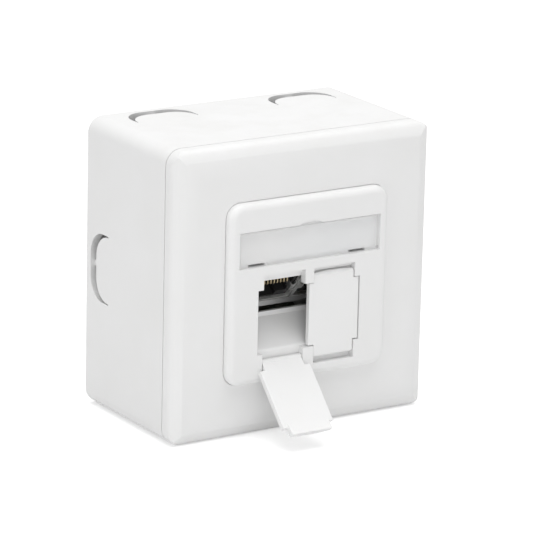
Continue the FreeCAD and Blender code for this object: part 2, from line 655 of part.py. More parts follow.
def centre_plate():
    """Raised centre plate with the label recess, jack aperture, hinges and ramp."""
    body = rounded_prism(PLATE_SIDE, PLATE_SIDE, PLATE_CORNER_R, PLATE_FRONT_Y, PLATE_REAR_Y)
    front_edges = [edge for edge in body.Edges if all(abs(v.Y - PLATE_FRONT_Y) < 0.01 for v in edge.Vertexes)]
    body = body.makeFillet(PLATE_EDGE_R, front_edges)
    hollow = PLATE_SIDE / 2 - PLATE_RIM
    body = body.cut(block(-hollow, hollow, PLATE_WALL_Y, PLATE_REAR_Y + CUT_OVERRUN, -hollow, hollow))
    margin = RECESS_BACKING_MARGIN
    body = body.fuse(block(-hollow, hollow, PLATE_WALL_Y - 0.5, RECESS_FLOOR_Y + RECESS_BACKING,
                           RECESS_BOTTOM_Z - margin, RECESS_TOP_Z + margin))
    boss_rear = CROSSBAR_FRONT_Y - PLATE_BOSS_GAP
    boss = PLATE_BOSS_HALF
    body = body.fuse(block(-boss, boss, PLATE_WALL_Y, boss_rear, PLATE_SCREW_Z - boss, PLATE_SCREW_Z + boss))
    for cutter in recess_cutters() + aperture_cutters():
        body = body.cut(cutter)
    body = body.fuse(ramp())
    head_pocket = PLATE_SCREW_HEAD_R + SCREW_FIT
    seat_y = RECESS_FLOOR_Y + PLATE_SCREW_HEAD_RISE + SCREW_FIT
    body = body.cut(rod_y(0, PLATE_SCREW_Z, head_pocket, RECESS_FLOOR_Y - CUT_OVERRUN, seat_y))
    body = body.cut(rod_y(0, PLATE_SCREW_Z, PLATE_SCREW_R + SCREW_FIT, seat_y - CUT_OVERRUN, 0))
    return one_solid(body)


def label_window():
    """Clear label window: a pane with pins at the ends of its lower edge."""
    half = RECESS_WIDTH / 2 - WINDOW_SIDE_GAP
    top = RECESS_TOP_Z - WINDOW_TOP_GAP
    tongue_top = RECESS_TOP_Z - WINDOW_TONGUE_GAP
    tongue_half = WINDOW_TONGUE_WIDTH / 2
    low = RECESS_BOTTOM_Z + WINDOW_BOTTOM_GAP
    pane = block(-half, half, WINDOW_FRONT_Y, WINDOW_REAR_Y, low, top)
    pane = pane.fuse(block(-tongue_half, tongue_half, WINDOW_AXIS_Y, WINDOW_REAR_Y, WINDOW_AXIS_Z, tongue_top))
    for sign in (-1, 1):
        low_x = sign * WINDOW_NOTCH_CENTRE_X - WINDOW_NOTCH_WIDTH / 2
        notch_top = low + WINDOW_NOTCH_HEIGHT
        pane = pane.cut(block(low_x, low_x + WINDOW_NOTCH_WIDTH, WINDOW_FRONT_Y - CUT_OVERRUN,
                              WINDOW_REAR_Y + CUT_OVERRUN, low - CUT_OVERRUN, notch_top))
    pin_half = RECESS_WIDTH / 2 + WINDOW_PIN_LENGTH - FLAP_GAP
    for sign in (-1, 1):
        pin_root = sign * (half - CUT_OVERRUN)
        pane = pane.fuse(rod_x(WINDOW_AXIS_Y, WINDOW_AXIS_Z, WINDOW_PIN_R, pin_root, sign * pin_half))
    return one_solid(pane)


def label_card():
    """Blank card that lies on the floor of the label recess."""
    half = RECESS_WIDTH / 2 - CARD_SIDE_GAP
    return block(-half, half, RECESS_FLOOR_Y - CARD_THICK, RECESS_FLOOR_Y,
                 RECESS_BOTTOM_Z + CARD_END_GAP, RECESS_TOP_Z - CARD_END_GAP)


# ----------------------------------------------------------------- dust flap
def flap_outline():
    """Front outline of the right flap: hinge strip, wide panel, bowed tongue."""
    strip_inner = HINGE_POCKET_INNER_X + FLAP_GAP
    strip_outer = HINGE_POCKET_OUTER_X - FLAP_GAP
    panel_inner = FLAP_MIDDLE_GAP
    panel_outer = APERTURE_HALF - FLAP_GAP
    tongue_inner = TONGUE_SLOT_INNER_X + FLAP_GAP
    tongue_outer = TONGUE_SLOT_OUTER_X - FLAP_GAP
    ear_z = APERTURE_BOTTOM_Z + FLAP_EAR_GAP
    shoulder_z = APERTURE_TOP_Z - FLAP_GAP
    top_z = TONGUE_SLOT_TOP_Z - TONGUE_SLOT_CHAMFER - FLAP_GAP
    side_z = top_z - FLAP_TOP_BOW

    def point(x, z):
        return FreeCAD.Vector(x, FLAP_FRONT_Y, z)
    left = [point(tongue_inner, side_z), point(tongue_inner, shoulder_z), point(panel_inner, shoulder_z),
            point(panel_inner, ear_z), point(strip_inner, ear_z), point(strip_inner, HINGE_Z)]
    right = [point(strip_outer, HINGE_Z), point(strip_outer, ear_z), point(panel_outer, ear_z),
             point(panel_outer, shoulder_z), point(tongue_outer, shoulder_z), point(tongue_outer, side_z)]
    corners = left + right
    edges = [Part.LineSegment(start, end).toShape() for start, end in zip(corners, corners[1:])]
    bow = point((tongue_inner + tongue_outer) / 2, top_z)
    edges.append(Part.Arc(corners[-1], bow, corners[0]).toShape())
    return Part.Face(Part.Wire(edges)), tongue_inner, tongue_outer, top_z


def dust_flap_closed():
    """Right dust flap in its closed place, with its barrel and hinge pins."""
    outline, tongue_inner, tongue_outer, top_z = flap_outline()
    body = outline.extrude(FreeCAD.Vector(0, FLAP_THICK, 0))
    nose_top = top_z - FLAP_TOP_BOW
    nose = [
        (FLAP_REAR_Y, nose_top),
        (FLAP_REAR_Y, nose_top - FLAP_NOSE_LENGTH),
        (FLAP_REAR_Y + FLAP_NOSE_RISE, nose_top - FLAP_NOSE_FLAT),
        (FLAP_REAR_Y + FLAP_NOSE_RISE, nose_top),
    ]
    body = body.fuse(prism_x(nose, tongue_inner, tongue_outer))
    bevel = [
        (FLAP_FRONT_Y - CUT_OVERRUN, top_z + CUT_OVERRUN),
        (FLAP_FRONT_Y - CUT_OVERRUN, top_z - FLAP_BEVEL_HEIGHT),
        (FLAP_FRONT_Y, top_z - FLAP_BEVEL_HEIGHT),
        (FLAP_FRONT_Y + FLAP_BEVEL_DEPTH, top_z + FLAP_GAP),
        (FLAP_FRONT_Y + FLAP_BEVEL_DEPTH, top_z + CUT_OVERRUN),
    ]
    body = body.cut(prism_x(bevel, tongue_inner - CUT_OVERRUN, tongue_outer + CUT_OVERRUN))
    strip_inner = HINGE_POCKET_INNER_X + FLAP_GAP
    strip_outer = HINGE_POCKET_OUTER_X - FLAP_GAP
    body = body.fuse(rod_x(HINGE_Y, HINGE_Z, HINGE_BARREL_R, strip_inner, strip_outer))
    pin_reach = HINGE_PIN_LENGTH - FLAP_GAP / 2
    body = body.fuse(rod_x(HINGE_Y, HINGE_Z, HINGE_PIN_R,
                           HINGE_POCKET_INNER_X - pin_reach, HINGE_POCKET_OUTER_X + pin_reach))
    return one_solid(body)


def dust_flap_right():
    """Right flap, closed."""
    return dust_flap_closed()


def dust_flap_left():
    """Left flap, swung down and out until it rests on the plate's edge."""
    flap = mirrored(dust_flap_closed())
    flap.rotate(FreeCAD.Vector(0, HINGE_Y, HINGE_Z), FreeCAD.Vector(1, 0, 0), FLAP_OPEN_DEG)
    return one_solid(flap)


# --------------------------------------------------------------------- screws
def slotted_screw(x, z, seat_y, radius, length, head_r, head_rise):
    """Screw along Y with a round slotted head in front of the face that it clamps."""
    shank = rod_y(x, z, radius, seat_y, seat_y + length)
    head = rod_y(x, z, head_r, seat_y - head_rise, seat_y)
    slot_half = head_r / 6
    slot = block(x - head_r, x + head_r, seat_y - head_rise, seat_y - head_rise / 2,
                 z - slot_half, z + slot_half)
    return shank.fuse(head).cut(slot)


def hex_screw(x, z, seat_y, radius, length, head_half, head_rise):
    """Screw along Y with a hexagon head, its size given as half across the flats."""
    corner_r = head_half / math.cos(math.pi / 6)
    corners = []
    for step in range(6):
        angle = (step + 0.5) * math.pi / 3
        corners.append((x + corner_r * math.cos(angle), z + corner_r * math.sin(angle)))
    head = prism_y(corners, seat_y - head_rise, seat_y)
    return rod_y(x, z, radius, seat_y, seat_y + length).fuse(head)


def plate_screw():
    """Screw under the label card that pulls the centre plate on to the carrier."""
    seat = RECESS_FLOOR_Y + PLATE_SCREW_HEAD_RISE + SCREW_FIT
    return one_solid(slotted_screw(0, PLATE_SCREW_Z, seat, PLATE_SCREW_R, PLATE_SCREW_LENGTH,
                                   PLATE_SCREW_HEAD_R, PLATE_SCREW_HEAD_RISE))


def support_screws():
    """Two screws that hold the support on the pillars of the box."""
    screws = []
    for sign in (-1, 1):
        screws.append(hex_screw(sign * PILLAR_SPACING / 2, 0, SUPPORT_FRONT_Y, SUPPORT_SCREW_R,
                                SUPPORT_SCREW_LENGTH, SUPPORT_SCREW_HEAD_HALF, SCREW_HEAD_RISE))
    return group(screws)


def carrier_screws():
    """Two screws that hold the carrier's ears behind the support."""
    screws = []
    for sign in (-1, 1):
        screws.append(hex_screw(sign * EAR_SCREW_X, EAR_SCREW_Z, SUPPORT_FRONT_Y, EAR_SCREW_R,
                                SUPPORT_THICK + EAR_GAP + EAR_THICK, EAR_SCREW_HEAD_HALF, SCREW_HEAD_RISE))
    return group(screws)


# -------------------------------------------------------------- support plate
def support_plate():
    """Flat steel support with a window for the jacks and slots for its screws."""
    half = SUPPORT_SIDE / 2
    low = half - SUPPORT_CHAMFER
    octagon = [(half, -low), (half, low), (low, half), (-low, half),
               (-half, low), (-half, -low), (-low, -half), (low, -half)]
    body = prism_y(octagon, SUPPORT_FRONT_Y, SUPPORT_REAR_Y)
    front = SUPPORT_FRONT_Y - CUT_OVERRUN
    rear = SUPPORT_REAR_Y + CUT_OVERRUN
    body = body.cut(block(-SUPPORT_OPENING_HALF, SUPPORT_OPENING_HALF, front, rear,
                          SUPPORT_OPENING_BOTTOM_Z, SUPPORT_OPENING_TOP_Z))
    for sign in (-1, 1):
        reach = sign * PILLAR_SPACING / 2
        body = body.cut(slot_y(reach, 0, SUPPORT_SLOT_R, SUPPORT_SLOT_LENGTH, False, front, rear))
        body = body.cut(rod_y(sign * EAR_SCREW_X, EAR_SCREW_Z, EAR_SCREW_R + SCREW_FIT, front, rear))
    return one_solid(body)


# ---------------------------------------------------------------------- jacks
def jack_shield():
    """Folded metal can round one jack, with a hemmed front edge and two springs."""
    half_x = JACK_WIDTH / 2
    half_w = JACK_HEIGHT / 2
    t = SHIELD_THICK
    can = block(-half_x, half_x, 0, JACK_LENGTH, -half_w, half_w)
    can = can.cut(block(-half_x + t, half_x - t, -CUT_OVERRUN, JACK_LENGTH - t, -half_w + t, half_w - t))
    hem = block(-half_x, half_x, 0, SHIELD_HEM_LENGTH, -half_w, half_w)
    h = SHIELD_HEM_THICK
    hem = hem.cut(block(-half_x + h, half_x - h, -CUT_OVERRUN, SHIELD_HEM_LENGTH + CUT_OVERRUN,
                        -half_w + h, half_w - h))
    can = can.fuse(hem)
    spring_half = SHIELD_SPRING_WIDTH / 2
    port_half = PORT_WIDTH / 2
    for sign in (-1, 1):
        root = sign * (half_x - h)
        tip = sign * (port_half + CONTACT_THICK)
        can = can.fuse(block(root, tip, 0, t, -spring_half, spring_half))
        can = can.fuse(block(tip, tip - sign * t, 0, SHIELD_SPRING_REACH, -spring_half, spring_half))
    rear_low = block(-half_x + t, half_x - t, CONTACT_REAR_S - CONTACT_CHANNEL_MARGIN, JACK_LENGTH + CUT_OVERRUN,
                     -half_w - t, -half_w / 2)
    return one_solid(can.cut(rear_low))


def contact_lane_x(index):
    """Place of one contact across the jack."""
    return (index - (CONTACT_COUNT - 1) / 2) * CONTACT_PITCH


def contact_path():
    """Bends of one contact wire in the (s, w) plane of a jack, from tip to board."""
    roof = PORT_TOP_W + CONTACT_THICK
    return [
        (CONTACT_TIP_S, CONTACT_TIP_W),
        (CONTACT_BEND_S, PORT_TOP_W - CONTACT_THICK),
        (CONTACT_BEND_S, roof),
        (CONTACT_REAR_S, roof),
        (CONTACT_REAR_S, BOARD_TOP_W),
    ]


def thick_path(points, thickness):
    """Outline of a path with mitred bends, as a closed list of points."""
    half = thickness / 2
    left = []
    right = []
    for index, (s, w) in enumerate(points):
        before = points[index - 1] if index > 0 else None
        after = points[index + 1] if index + 1 < len(points) else None
        normals = []
        for start, end in ((before, (s, w)), ((s, w), after)):
            if start is not None and end is not None:
                length = math.dist(start, end)
                normals.append((-(end[1] - start[1]) / length, (end[0] - start[0]) / length))
        nx = sum(normal[0] for normal in normals)
        nw = sum(normal[1] for normal in normals)
        scale = half * 2 / (nx * nx + nw * nw) if len(normals) == 2 else half
        left.append((s + nx * scale, w + nw * scale))
        right.append((s - nx * scale, w - nw * scale))
    return left + right[::-1]


def jack_contacts():
    """Eight bent contact wires of one jack."""
    outline = thick_path(contact_path(), CONTACT_THICK)
    wires = []
    for index in range(CONTACT_COUNT):
        x = contact_lane_x(index)
        wires.append(prism_x(outline, x - CONTACT_WIDTH / 2, x + CONTACT_WIDTH / 2))
    return group(wires)


def jack_body():
    """Plastic body of one jack: plug port, latch way and the contact channel."""
    inset = SHIELD_THICK + SHIELD_FIT
    half_x = JACK_WIDTH / 2 - inset
    half_w = JACK_HEIGHT / 2 - inset
    start = SHIELD_HEM_LENGTH + SHIELD_FIT
    body = block(-half_x, half_x, start, JACK_LENGTH - inset, -half_w, half_w)
    port_half = PORT_WIDTH / 2
    body = body.cut(block(-port_half, port_half, 0, PORT_DEPTH, PORT_BOTTOM_W, PORT_TOP_W))
    latch_half = LATCH_WIDTH / 2
    body = body.cut(block(-latch_half, latch_half, 0, LATCH_DEPTH, LATCH_BOTTOM_W, PORT_BOTTOM_W))
    spring_half = SHIELD_SPRING_WIDTH / 2 + SCREW_FIT
    body = body.cut(block(-half_x, half_x, 0, SHIELD_SPRING_REACH + SCREW_FIT, -spring_half, spring_half))
    margin = CONTACT_CHANNEL_MARGIN
    lane_half = contact_lane_x(CONTACT_COUNT - 1) + CONTACT_WIDTH / 2 + margin
    roof = PORT_TOP_W + CONTACT_THICK
    body = body.cut(block(-lane_half, lane_half, 0, CONTACT_REAR_S + margin, PORT_TOP_W, roof + margin))
    body = body.cut(block(-lane_half, lane_half, CONTACT_REAR_S - margin, CONTACT_REAR_S + margin,
                          -half_w - margin, roof))
    return one_solid(body)


# -------------------------------------------------- board and terminal blocks
def circuit_board():
    """Board that carries both jacks and both terminal blocks."""
    board = block(-BOARD_HALF, BOARD_HALF, BOARD_START_S, BOARD_START_S + BOARD_LENGTH,
                  BOARD_BOTTOM_W, BOARD_TOP_W)
    return tilted(board)


def terminal_places():
    """(x, s) of the eight wire slots of one terminal block."""
    rows = (TERMINAL_START_S + TERMINAL_LENGTH * 0.25, TERMINAL_START_S + TERMINAL_LENGTH * 0.75)
    first = -(TERMINAL_COLUMNS - 1) / 2 * TERMINAL_PITCH
    return [(first + column * TERMINAL_PITCH, s) for s in rows for column in range(TERMINAL_COLUMNS)]


def terminal_block():
    """Terminal block with two rows of slots for the wires."""
    half = TERMINAL_WIDTH / 2
    end = TERMINAL_START_S + TERMINAL_LENGTH
    low = BOARD_BOTTOM_W - TERMINAL_HEIGHT
    body = block(-half, half, TERMINAL_START_S, end, low, BOARD_BOTTOM_W)
    for x, s in terminal_places():
        body = body.cut(block(x - TERMINAL_SLOT_WIDTH / 2, x + TERMINAL_SLOT_WIDTH / 2,
                              s - TERMINAL_SLOT_LENGTH / 2, s + TERMINAL_SLOT_LENGTH / 2,
                              low - CUT_OVERRUN, low + TERMINAL_SLOT_DEPTH))
    middle = TERMINAL_START_S + TERMINAL_LENGTH / 2
    groove = TERMINAL_SLOT_WIDTH
    body = body.cut(block(-half, half, middle - groove, middle + groove, low - CUT_OVERRUN,
                          low + TERMINAL_SLOT_DEPTH / 2))
    return one_solid(body)


def terminal_contacts():
    """Eight forked blades of one terminal block, seated at the foot of its slots."""
    foot = BOARD_BOTTOM_W - TERMINAL_HEIGHT + TERMINAL_SLOT_DEPTH
    tip = foot - BLADE_HEIGHT
    blades = []
    for x, s in terminal_places():
        blade = block(x - BLADE_THICK / 2, x + BLADE_THICK / 2, s - BLADE_LENGTH / 2,
                      s + BLADE_LENGTH / 2, tip, foot)
        mouth = block(x - BLADE_THICK, x + BLADE_THICK, s - BLADE_MOUTH / 2, s + BLADE_MOUTH / 2,
                      tip - CUT_OVERRUN, tip + BLADE_MOUTH_DEPTH)
        blades.append(blade.cut(mouth))
    return group(blades)


# -------------------------------------------------------------------- carrier
def carrier_cheek():
    """Side cheek of the carrier, seen from the side as (y, z) corners."""
    board_tail = BOARD_START_S + BOARD_LENGTH
    slope = math.radians(JACK_TILT_DEG)

    def from_jack(s, w):
        y = JACK_FACE_Y + s * math.cos(slope) - w * math.sin(slope)
        z = JACK_FACE_Z + s * math.sin(slope) + w * math.cos(slope)
        return y, z
    low_w = BOARD_BOTTOM_W - 2 * CARRIER_RAIL_THICK
    crossbar_low = PLATE_SCREW_Z - CROSSBAR_HEIGHT / 2
    crossbar_top = PLATE_SCREW_Z + CROSSBAR_HEIGHT / 2
    ear_rear = SUPPORT_REAR_Y + EAR_GAP + EAR_THICK
    return [
        (CROSSBAR_FRONT_Y, crossbar_top),
        (CROSSBAR_FRONT_Y, crossbar_low),
        (ear_rear, EAR_BOTTOM_Z),
        (SILL_FRONT_Y, SILL_TOP_Z),
        (SILL_FRONT_Y, SILL_TOP_Z - SILL_HEIGHT),
        from_jack(BOARD_START_S, low_w),
        from_jack(board_tail, low_w),
        from_jack(board_tail + CARRIER_RAIL_THICK, BOARD_TOP_W),
        from_jack(JACK_LENGTH + CARRIER_RAIL_THICK, JACK_HEIGHT / 2),
    ]


def jack_carrier():
    """Die-cast carrier: two cheeks, a sill, a crossbar, board rails and ears."""
    low_z = PLATE_SCREW_Z - CROSSBAR_HEIGHT / 2
    top_z = PLATE_SCREW_Z + CROSSBAR_HEIGHT / 2
    body = block(-CARRIER_HALF, CARRIER_HALF, CROSSBAR_FRONT_Y, CROSSBAR_REAR_Y, low_z, top_z)
    body = body.fuse(block(-CARRIER_HALF, CARRIER_HALF, SILL_FRONT_Y, SILL_FRONT_Y + SILL_DEPTH,
                           SILL_TOP_Z - SILL_HEIGHT, SILL_TOP_Z))
    cheek = prism_x(carrier_cheek(), CARRIER_INNER, CARRIER_HALF)
    rail = tilted(block(CARRIER_INNER - CARRIER_RAIL_WIDTH, CARRIER_HALF, BOARD_START_S,
                        BOARD_START_S + BOARD_LENGTH, BOARD_BOTTOM_W - BOARD_GAP - CARRIER_RAIL_THICK,
                        BOARD_BOTTOM_W - BOARD_GAP))
    ear_front = SUPPORT_REAR_Y + EAR_GAP
    ear = block(CARRIER_INNER, CARRIER_HALF + EAR_WIDTH, ear_front, ear_front + EAR_THICK, EAR_BOTTOM_Z, EAR_TOP_Z)
    ear = ear.cut(rod_y(EAR_SCREW_X, EAR_SCREW_Z, EAR_SCREW_R + SCREW_FIT, ear_front - CUT_OVERRUN, 0))
    for piece in (cheek, rail, ear):
        body = body.fuse(piece).fuse(mirrored(piece))
    body = body.cut(rod_y(0, PLATE_SCREW_Z, PLATE_SCREW_R + SCREW_FIT, CROSSBAR_FRONT_Y - CUT_OVERRUN,
                          CROSSBAR_REAR_Y + CUT_OVERRUN))
    return one_solid(body)


# ------------------------------------------------- rear shield, clamp, earth
def clamp_screw_hole(x, radius, w0, w1):
    """Cylinder across the clamp, in the jack frame."""
    s = REAR_SHIELD_START_S - CLAMP_TONGUE_LENGTH / 2
    return Part.makeCylinder(radius, abs(w1 - w0), FreeCAD.Vector(x, s, min(w0, w1)))


def rear_shield():
    """Folded metal cover over the terminals, with a mouth and a clamp tongue."""
    half = REAR_SHIELD_HALF
    t = REAR_SHIELD_THICK
    s0 = REAR_SHIELD_START_S
    s1 = REAR_SHIELD_END_S
    top = REAR_SHIELD_TOP_W
    bottom = REAR_SHIELD_BOTTOM_W
    body = block(-half, half, s0, s1, bottom, top)
    body = body.cut(block(-half + t, half - t, s0 + t, s1 - t, bottom + t, top + CUT_OVERRUN))
    mouth_low = bottom + t
    body = body.cut(block(-CABLE_MOUTH_HALF, CABLE_MOUTH_HALF, s0 - CUT_OVERRUN, s0 + t + CUT_OVERRUN,
                          mouth_low, mouth_low + CABLE_MOUTH_HEIGHT))
    tongue = block(-CLAMP_TONGUE_HALF, CLAMP_TONGUE_HALF, s0 - CLAMP_TONGUE_LENGTH, s0 + t, bottom, bottom + t)
    body = body.fuse(tongue)
    for sign in (-1, 1):
        body = body.cut(clamp_screw_hole(sign * CLAMP_SCREW_X, CLAMP_SCREW_R + SCREW_FIT,
                                         bottom - CUT_OVERRUN, bottom + t + CUT_OVERRUN))
    return tilted(one_solid(body))


def clamp_bar():
    """Bar that presses the incoming cable on the tongue, with an arched saddle."""
    s = REAR_SHIELD_START_S - CLAMP_TONGUE_LENGTH / 2
    low = REAR_SHIELD_BOTTOM_W + REAR_SHIELD_THICK + CLAMP_BAR_OPENING
    top = low + CLAMP_BAR_THICK
    half = CLAMP_TONGUE_HALF
    body = block(-half, half, s - CLAMP_BAR_LENGTH / 2, s + CLAMP_BAR_LENGTH / 2, low, top)
    rise = CLAMP_BAR_THICK / 2
    arch = [(-CLAMP_SADDLE_HALF, low - CUT_OVERRUN), (-CLAMP_SADDLE_HALF, low), (rise - CLAMP_SADDLE_HALF, low + rise),
            (CLAMP_SADDLE_HALF - rise, low + rise), (CLAMP_SADDLE_HALF, low), (CLAMP_SADDLE_HALF, low - CUT_OVERRUN)]
    body = body.cut(prism_y(arch, s - CLAMP_BAR_LENGTH, s + CLAMP_BAR_LENGTH))
    for sign in (-1, 1):
        body = body.cut(clamp_screw_hole(sign * CLAMP_SCREW_X, CLAMP_SCREW_R + SCREW_FIT,
                                         low - CUT_OVERRUN, top + CUT_OVERRUN))
    return tilted(one_solid(body))


def clamp_screws():
    """Two hexagon screws through the clamp bar and the tongue."""
    low = REAR_SHIELD_BOTTOM_W - SCREW_HEAD_RISE
    top = REAR_SHIELD_BOTTOM_W + REAR_SHIELD_THICK + CLAMP_BAR_OPENING + CLAMP_BAR_THICK
    s = REAR_SHIELD_START_S - CLAMP_TONGUE_LENGTH / 2
    screws = []
    for sign in (-1, 1):
        screw = hex_screw(sign * CLAMP_SCREW_X, 0, 0, CLAMP_SCREW_R, top - low,
                          CLAMP_SCREW_HEAD_HALF, SCREW_HEAD_RISE)
        screw.rotate(FreeCAD.Vector(0, 0, 0), FreeCAD.Vector(1, 0, 0), -90)
        screw.translate(FreeCAD.Vector(0, s, top))
        screws.append(tilted(screw))
    return group(screws)


def earth_tab():
    """Flat earth terminal on the outside of the carrier's right cheek."""
    front = EARTH_TAB_REAR_Y - EARTH_TAB_LENGTH
    outer = CARRIER_HALF + EARTH_TAB_THICK
    blade = block(CARRIER_HALF, outer, front, EARTH_TAB_REAR_Y,
                  EARTH_TAB_BOTTOM_Z, EARTH_TAB_BOTTOM_Z + EARTH_TAB_WIDTH)
    hole_y = EARTH_TAB_REAR_Y - EARTH_TAB_WIDTH / 2
    hole_z = EARTH_TAB_BOTTOM_Z + EARTH_TAB_WIDTH / 2
    return one_solid(blade.cut(rod_x(hole_y, hole_z, EARTH_TAB_HOLE_R, 0, outer + CUT_OVERRUN)))


def jack_pair(make):
    """Left and right copies of a piece that is made in the jack frame."""
    piece = make()
    return tilted(piece, -JACK_PITCH / 2), tilted(piece, JACK_PITCH / 2)


def build_parts():
    """Every node of the box, by name."""
    parts = {
        "back_box": back_box(),
        "cover_frame": cover_frame(),
        "centre_plate": centre_plate(),
        "label_window": label_window(),
        "label_card": label_card(),
        "plate_screw": plate_screw(),
        "support_plate": support_plate(),
        "support_screws": support_screws(),
        "carrier_screws": carrier_screws(),
        "jack_carrier": jack_carrier(),
        "circuit_board": circuit_board(),
        "rear_shield": rear_shield(),
        "clamp_bar": clamp_bar(),
        "clamp_screws": clamp_screws(),
        "earth_tab": earth_tab(),
        "dust_flap_left": dust_flap_left(),
        "dust_flap_right": dust_flap_right(),
    }
    pairs = {
        "jack_shield": jack_shield,
        "jack_body": jack_body,
        "jack_contacts": jack_contacts,
        "terminal_block": terminal_block,
        "terminal_contacts": terminal_contacts,
    }
    for name, make in pairs.items():
        parts[name + "_left"], parts[name + "_right"] = jack_pair(make)
    return parts


def main():
    """Write one STEP file per node."""
    os.makedirs("parts", exist_ok=True)
    for name, shape in build_parts().items():
        shape.exportStep(os.path.join("parts", name + ".step"))
        print(f"{name}: {len(shape.Solids)} solid(s), {shape.Volume:.1f} mm3, valid {shape.isValid()}")


main()
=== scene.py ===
"""Looks of the surface mount jack box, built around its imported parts."""

import logging
import math
from collections.abc import Callable
from dataclasses import dataclass, field
from enum import Enum

import bmesh
import bpy
from mathutils import Matrix, Vector


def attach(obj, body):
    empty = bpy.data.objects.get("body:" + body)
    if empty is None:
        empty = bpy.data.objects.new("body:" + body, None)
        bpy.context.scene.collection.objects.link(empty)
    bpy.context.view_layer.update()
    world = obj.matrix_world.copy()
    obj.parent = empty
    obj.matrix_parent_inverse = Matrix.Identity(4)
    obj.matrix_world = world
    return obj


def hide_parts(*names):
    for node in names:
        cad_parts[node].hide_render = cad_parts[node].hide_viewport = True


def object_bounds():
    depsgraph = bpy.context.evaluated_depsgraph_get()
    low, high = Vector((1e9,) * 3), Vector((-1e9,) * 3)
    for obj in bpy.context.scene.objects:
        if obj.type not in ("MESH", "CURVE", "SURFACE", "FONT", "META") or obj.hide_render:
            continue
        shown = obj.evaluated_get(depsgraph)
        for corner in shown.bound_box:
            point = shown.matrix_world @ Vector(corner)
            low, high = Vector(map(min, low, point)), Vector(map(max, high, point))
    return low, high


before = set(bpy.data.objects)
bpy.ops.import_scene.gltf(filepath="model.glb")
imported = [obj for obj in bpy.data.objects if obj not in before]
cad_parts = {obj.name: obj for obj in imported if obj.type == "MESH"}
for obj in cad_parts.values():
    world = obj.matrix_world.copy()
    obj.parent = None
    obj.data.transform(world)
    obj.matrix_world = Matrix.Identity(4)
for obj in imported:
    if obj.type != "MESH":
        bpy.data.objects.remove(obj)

SOLID_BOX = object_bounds()
LOG = logging.getLogger("jack_box")
MM = 0.001
SOLID_MERGE = 0.002 * MM
SOLID_FLAT_DEG = 0.6
REPEAT_MERGE = 0.0005 * MM

JACK_MIDDLES = {"left": -8.0, "right": 8.0}

Node = bpy.types.Node
Socket = bpy.types.NodeSocket
Mesh = bpy.types.Mesh
Piece = bpy.types.Object
Colour = tuple[float, float, float]
Point = tuple[float, float, float]
Block = tuple[Point, Point]


# ------------------------------------------------------------------ node trees
class Graph:
    """Adds the nodes of one tree and joins them."""

    def __init__(self, tree: bpy.types.NodeTree) -> None:
        """Starts from an empty tree.

        Args:
            tree: The shader or geometry tree to fill.
        """
        self.tree = tree
        tree.nodes.clear()

    def add(self, kind: str, **values: object) -> Node:
        """Adds one node.

        Args:
            kind: The node's type name.
            **values: Properties of the node, by name.

        Returns:
            The new node.
        """
        node = self.tree.nodes.new(kind)
        for name, value in values.items():
            setattr(node, name, value)
        return node

    def put(self, node: Node, **values: object) -> Node:
        """Sets unlinked inputs of a node by their names.

        Args:
            node: The node to set.
            **values: Input values; an underscore stands for a space.

        Returns:
            The same node.
        """
        for name, value in values.items():
            node.inputs[name.replace("_", " ")].default_value = value
        return node

    def join(self, source: Socket, target: Socket) -> None:
        """Links an output to an input."""
        self.tree.links.new(source, target)

    def sum(self, first: Socket, second: Socket,
            operation: str = "ADD") -> Socket:
        """Joins two values with one math operation.

        Args:
            first: The first value.
            second: The second value.
            operation: The math node's operation.

        Returns:
            The result.
        """
        node = self.add("ShaderNodeMath", operation=operation)
        self.join(first, node.inputs[0])
        self.join(second, node.inputs[1])
        return node.outputs[0]

    def scaled(self, value: Socket, factor: float) -> Socket:
        """Multiplies a value by a constant.

        Args:
            value: The value.
            factor: The constant.

        Returns:
            The product.
        """
        node = self.add("ShaderNodeMath", operation="MULTIPLY")
        self.join(value, node.inputs[0])
        node.inputs[1].default_value = factor
        return node.outputs[0]

    def ranged(self, value: Socket, low: float, high: float,
               to_low: float, to_high: float) -> Socket:
        """Maps one range of a value on to another.

        Args:
            value: The value to map.
            low: Start of its range.
            high: End of its range.
            to_low: What the start becomes.
            to_high: What the end becomes.

        Returns:
            The mapped value, held inside its new range.
        """
        node = self.add("ShaderNodeMapRange")
        self.join(value, node.inputs["Value"])
        self.put(node, From_Min=low, From_Max=high, To_Min=to_low, To_Max=to_high)
        return node.outputs["Result"]

    def noise(self, vector: Socket, size: float, detail: float = 2.0,
              roughness: float = 0.5) -> Socket:
        """Adds a noise whose blotches have a given size.

        Args:
            vector: Where the noise is read.
            size: Size of a blotch, in metres.
            detail: Number of finer layers.
            roughness: Strength of the finer layers.

        Returns:
            The noise value, from 0 to 1.
        """
        node = self.add("ShaderNodeTexNoise")
        self.join(vector, node.inputs["Vector"])
        self.put(node, Scale=1.0 / size, Detail=detail, Roughness=roughness)
        return node.outputs["Fac"]

    def seen_directly(self) -> Socket:
        """Gives 1 to rays that show a surface as it is, and 0 to those that only light others.

        Returns:
            The mask of camera, glossy and transmission rays.
        """
        path = self.add("ShaderNodeLightPath")
        seen = self.sum(path.outputs["Is Camera Ray"], path.outputs["Is Glossy Ray"], "MAXIMUM")
        return self.sum(seen, path.outputs["Is Transmission Ray"], "MAXIMUM")


class SharedEffect(Enum):
    """Shader effects that more than one finish uses."""

    GRAIN = "moulding_grain"
    DUST = "settled_dust"
    DRAWN = "drawn_metal"


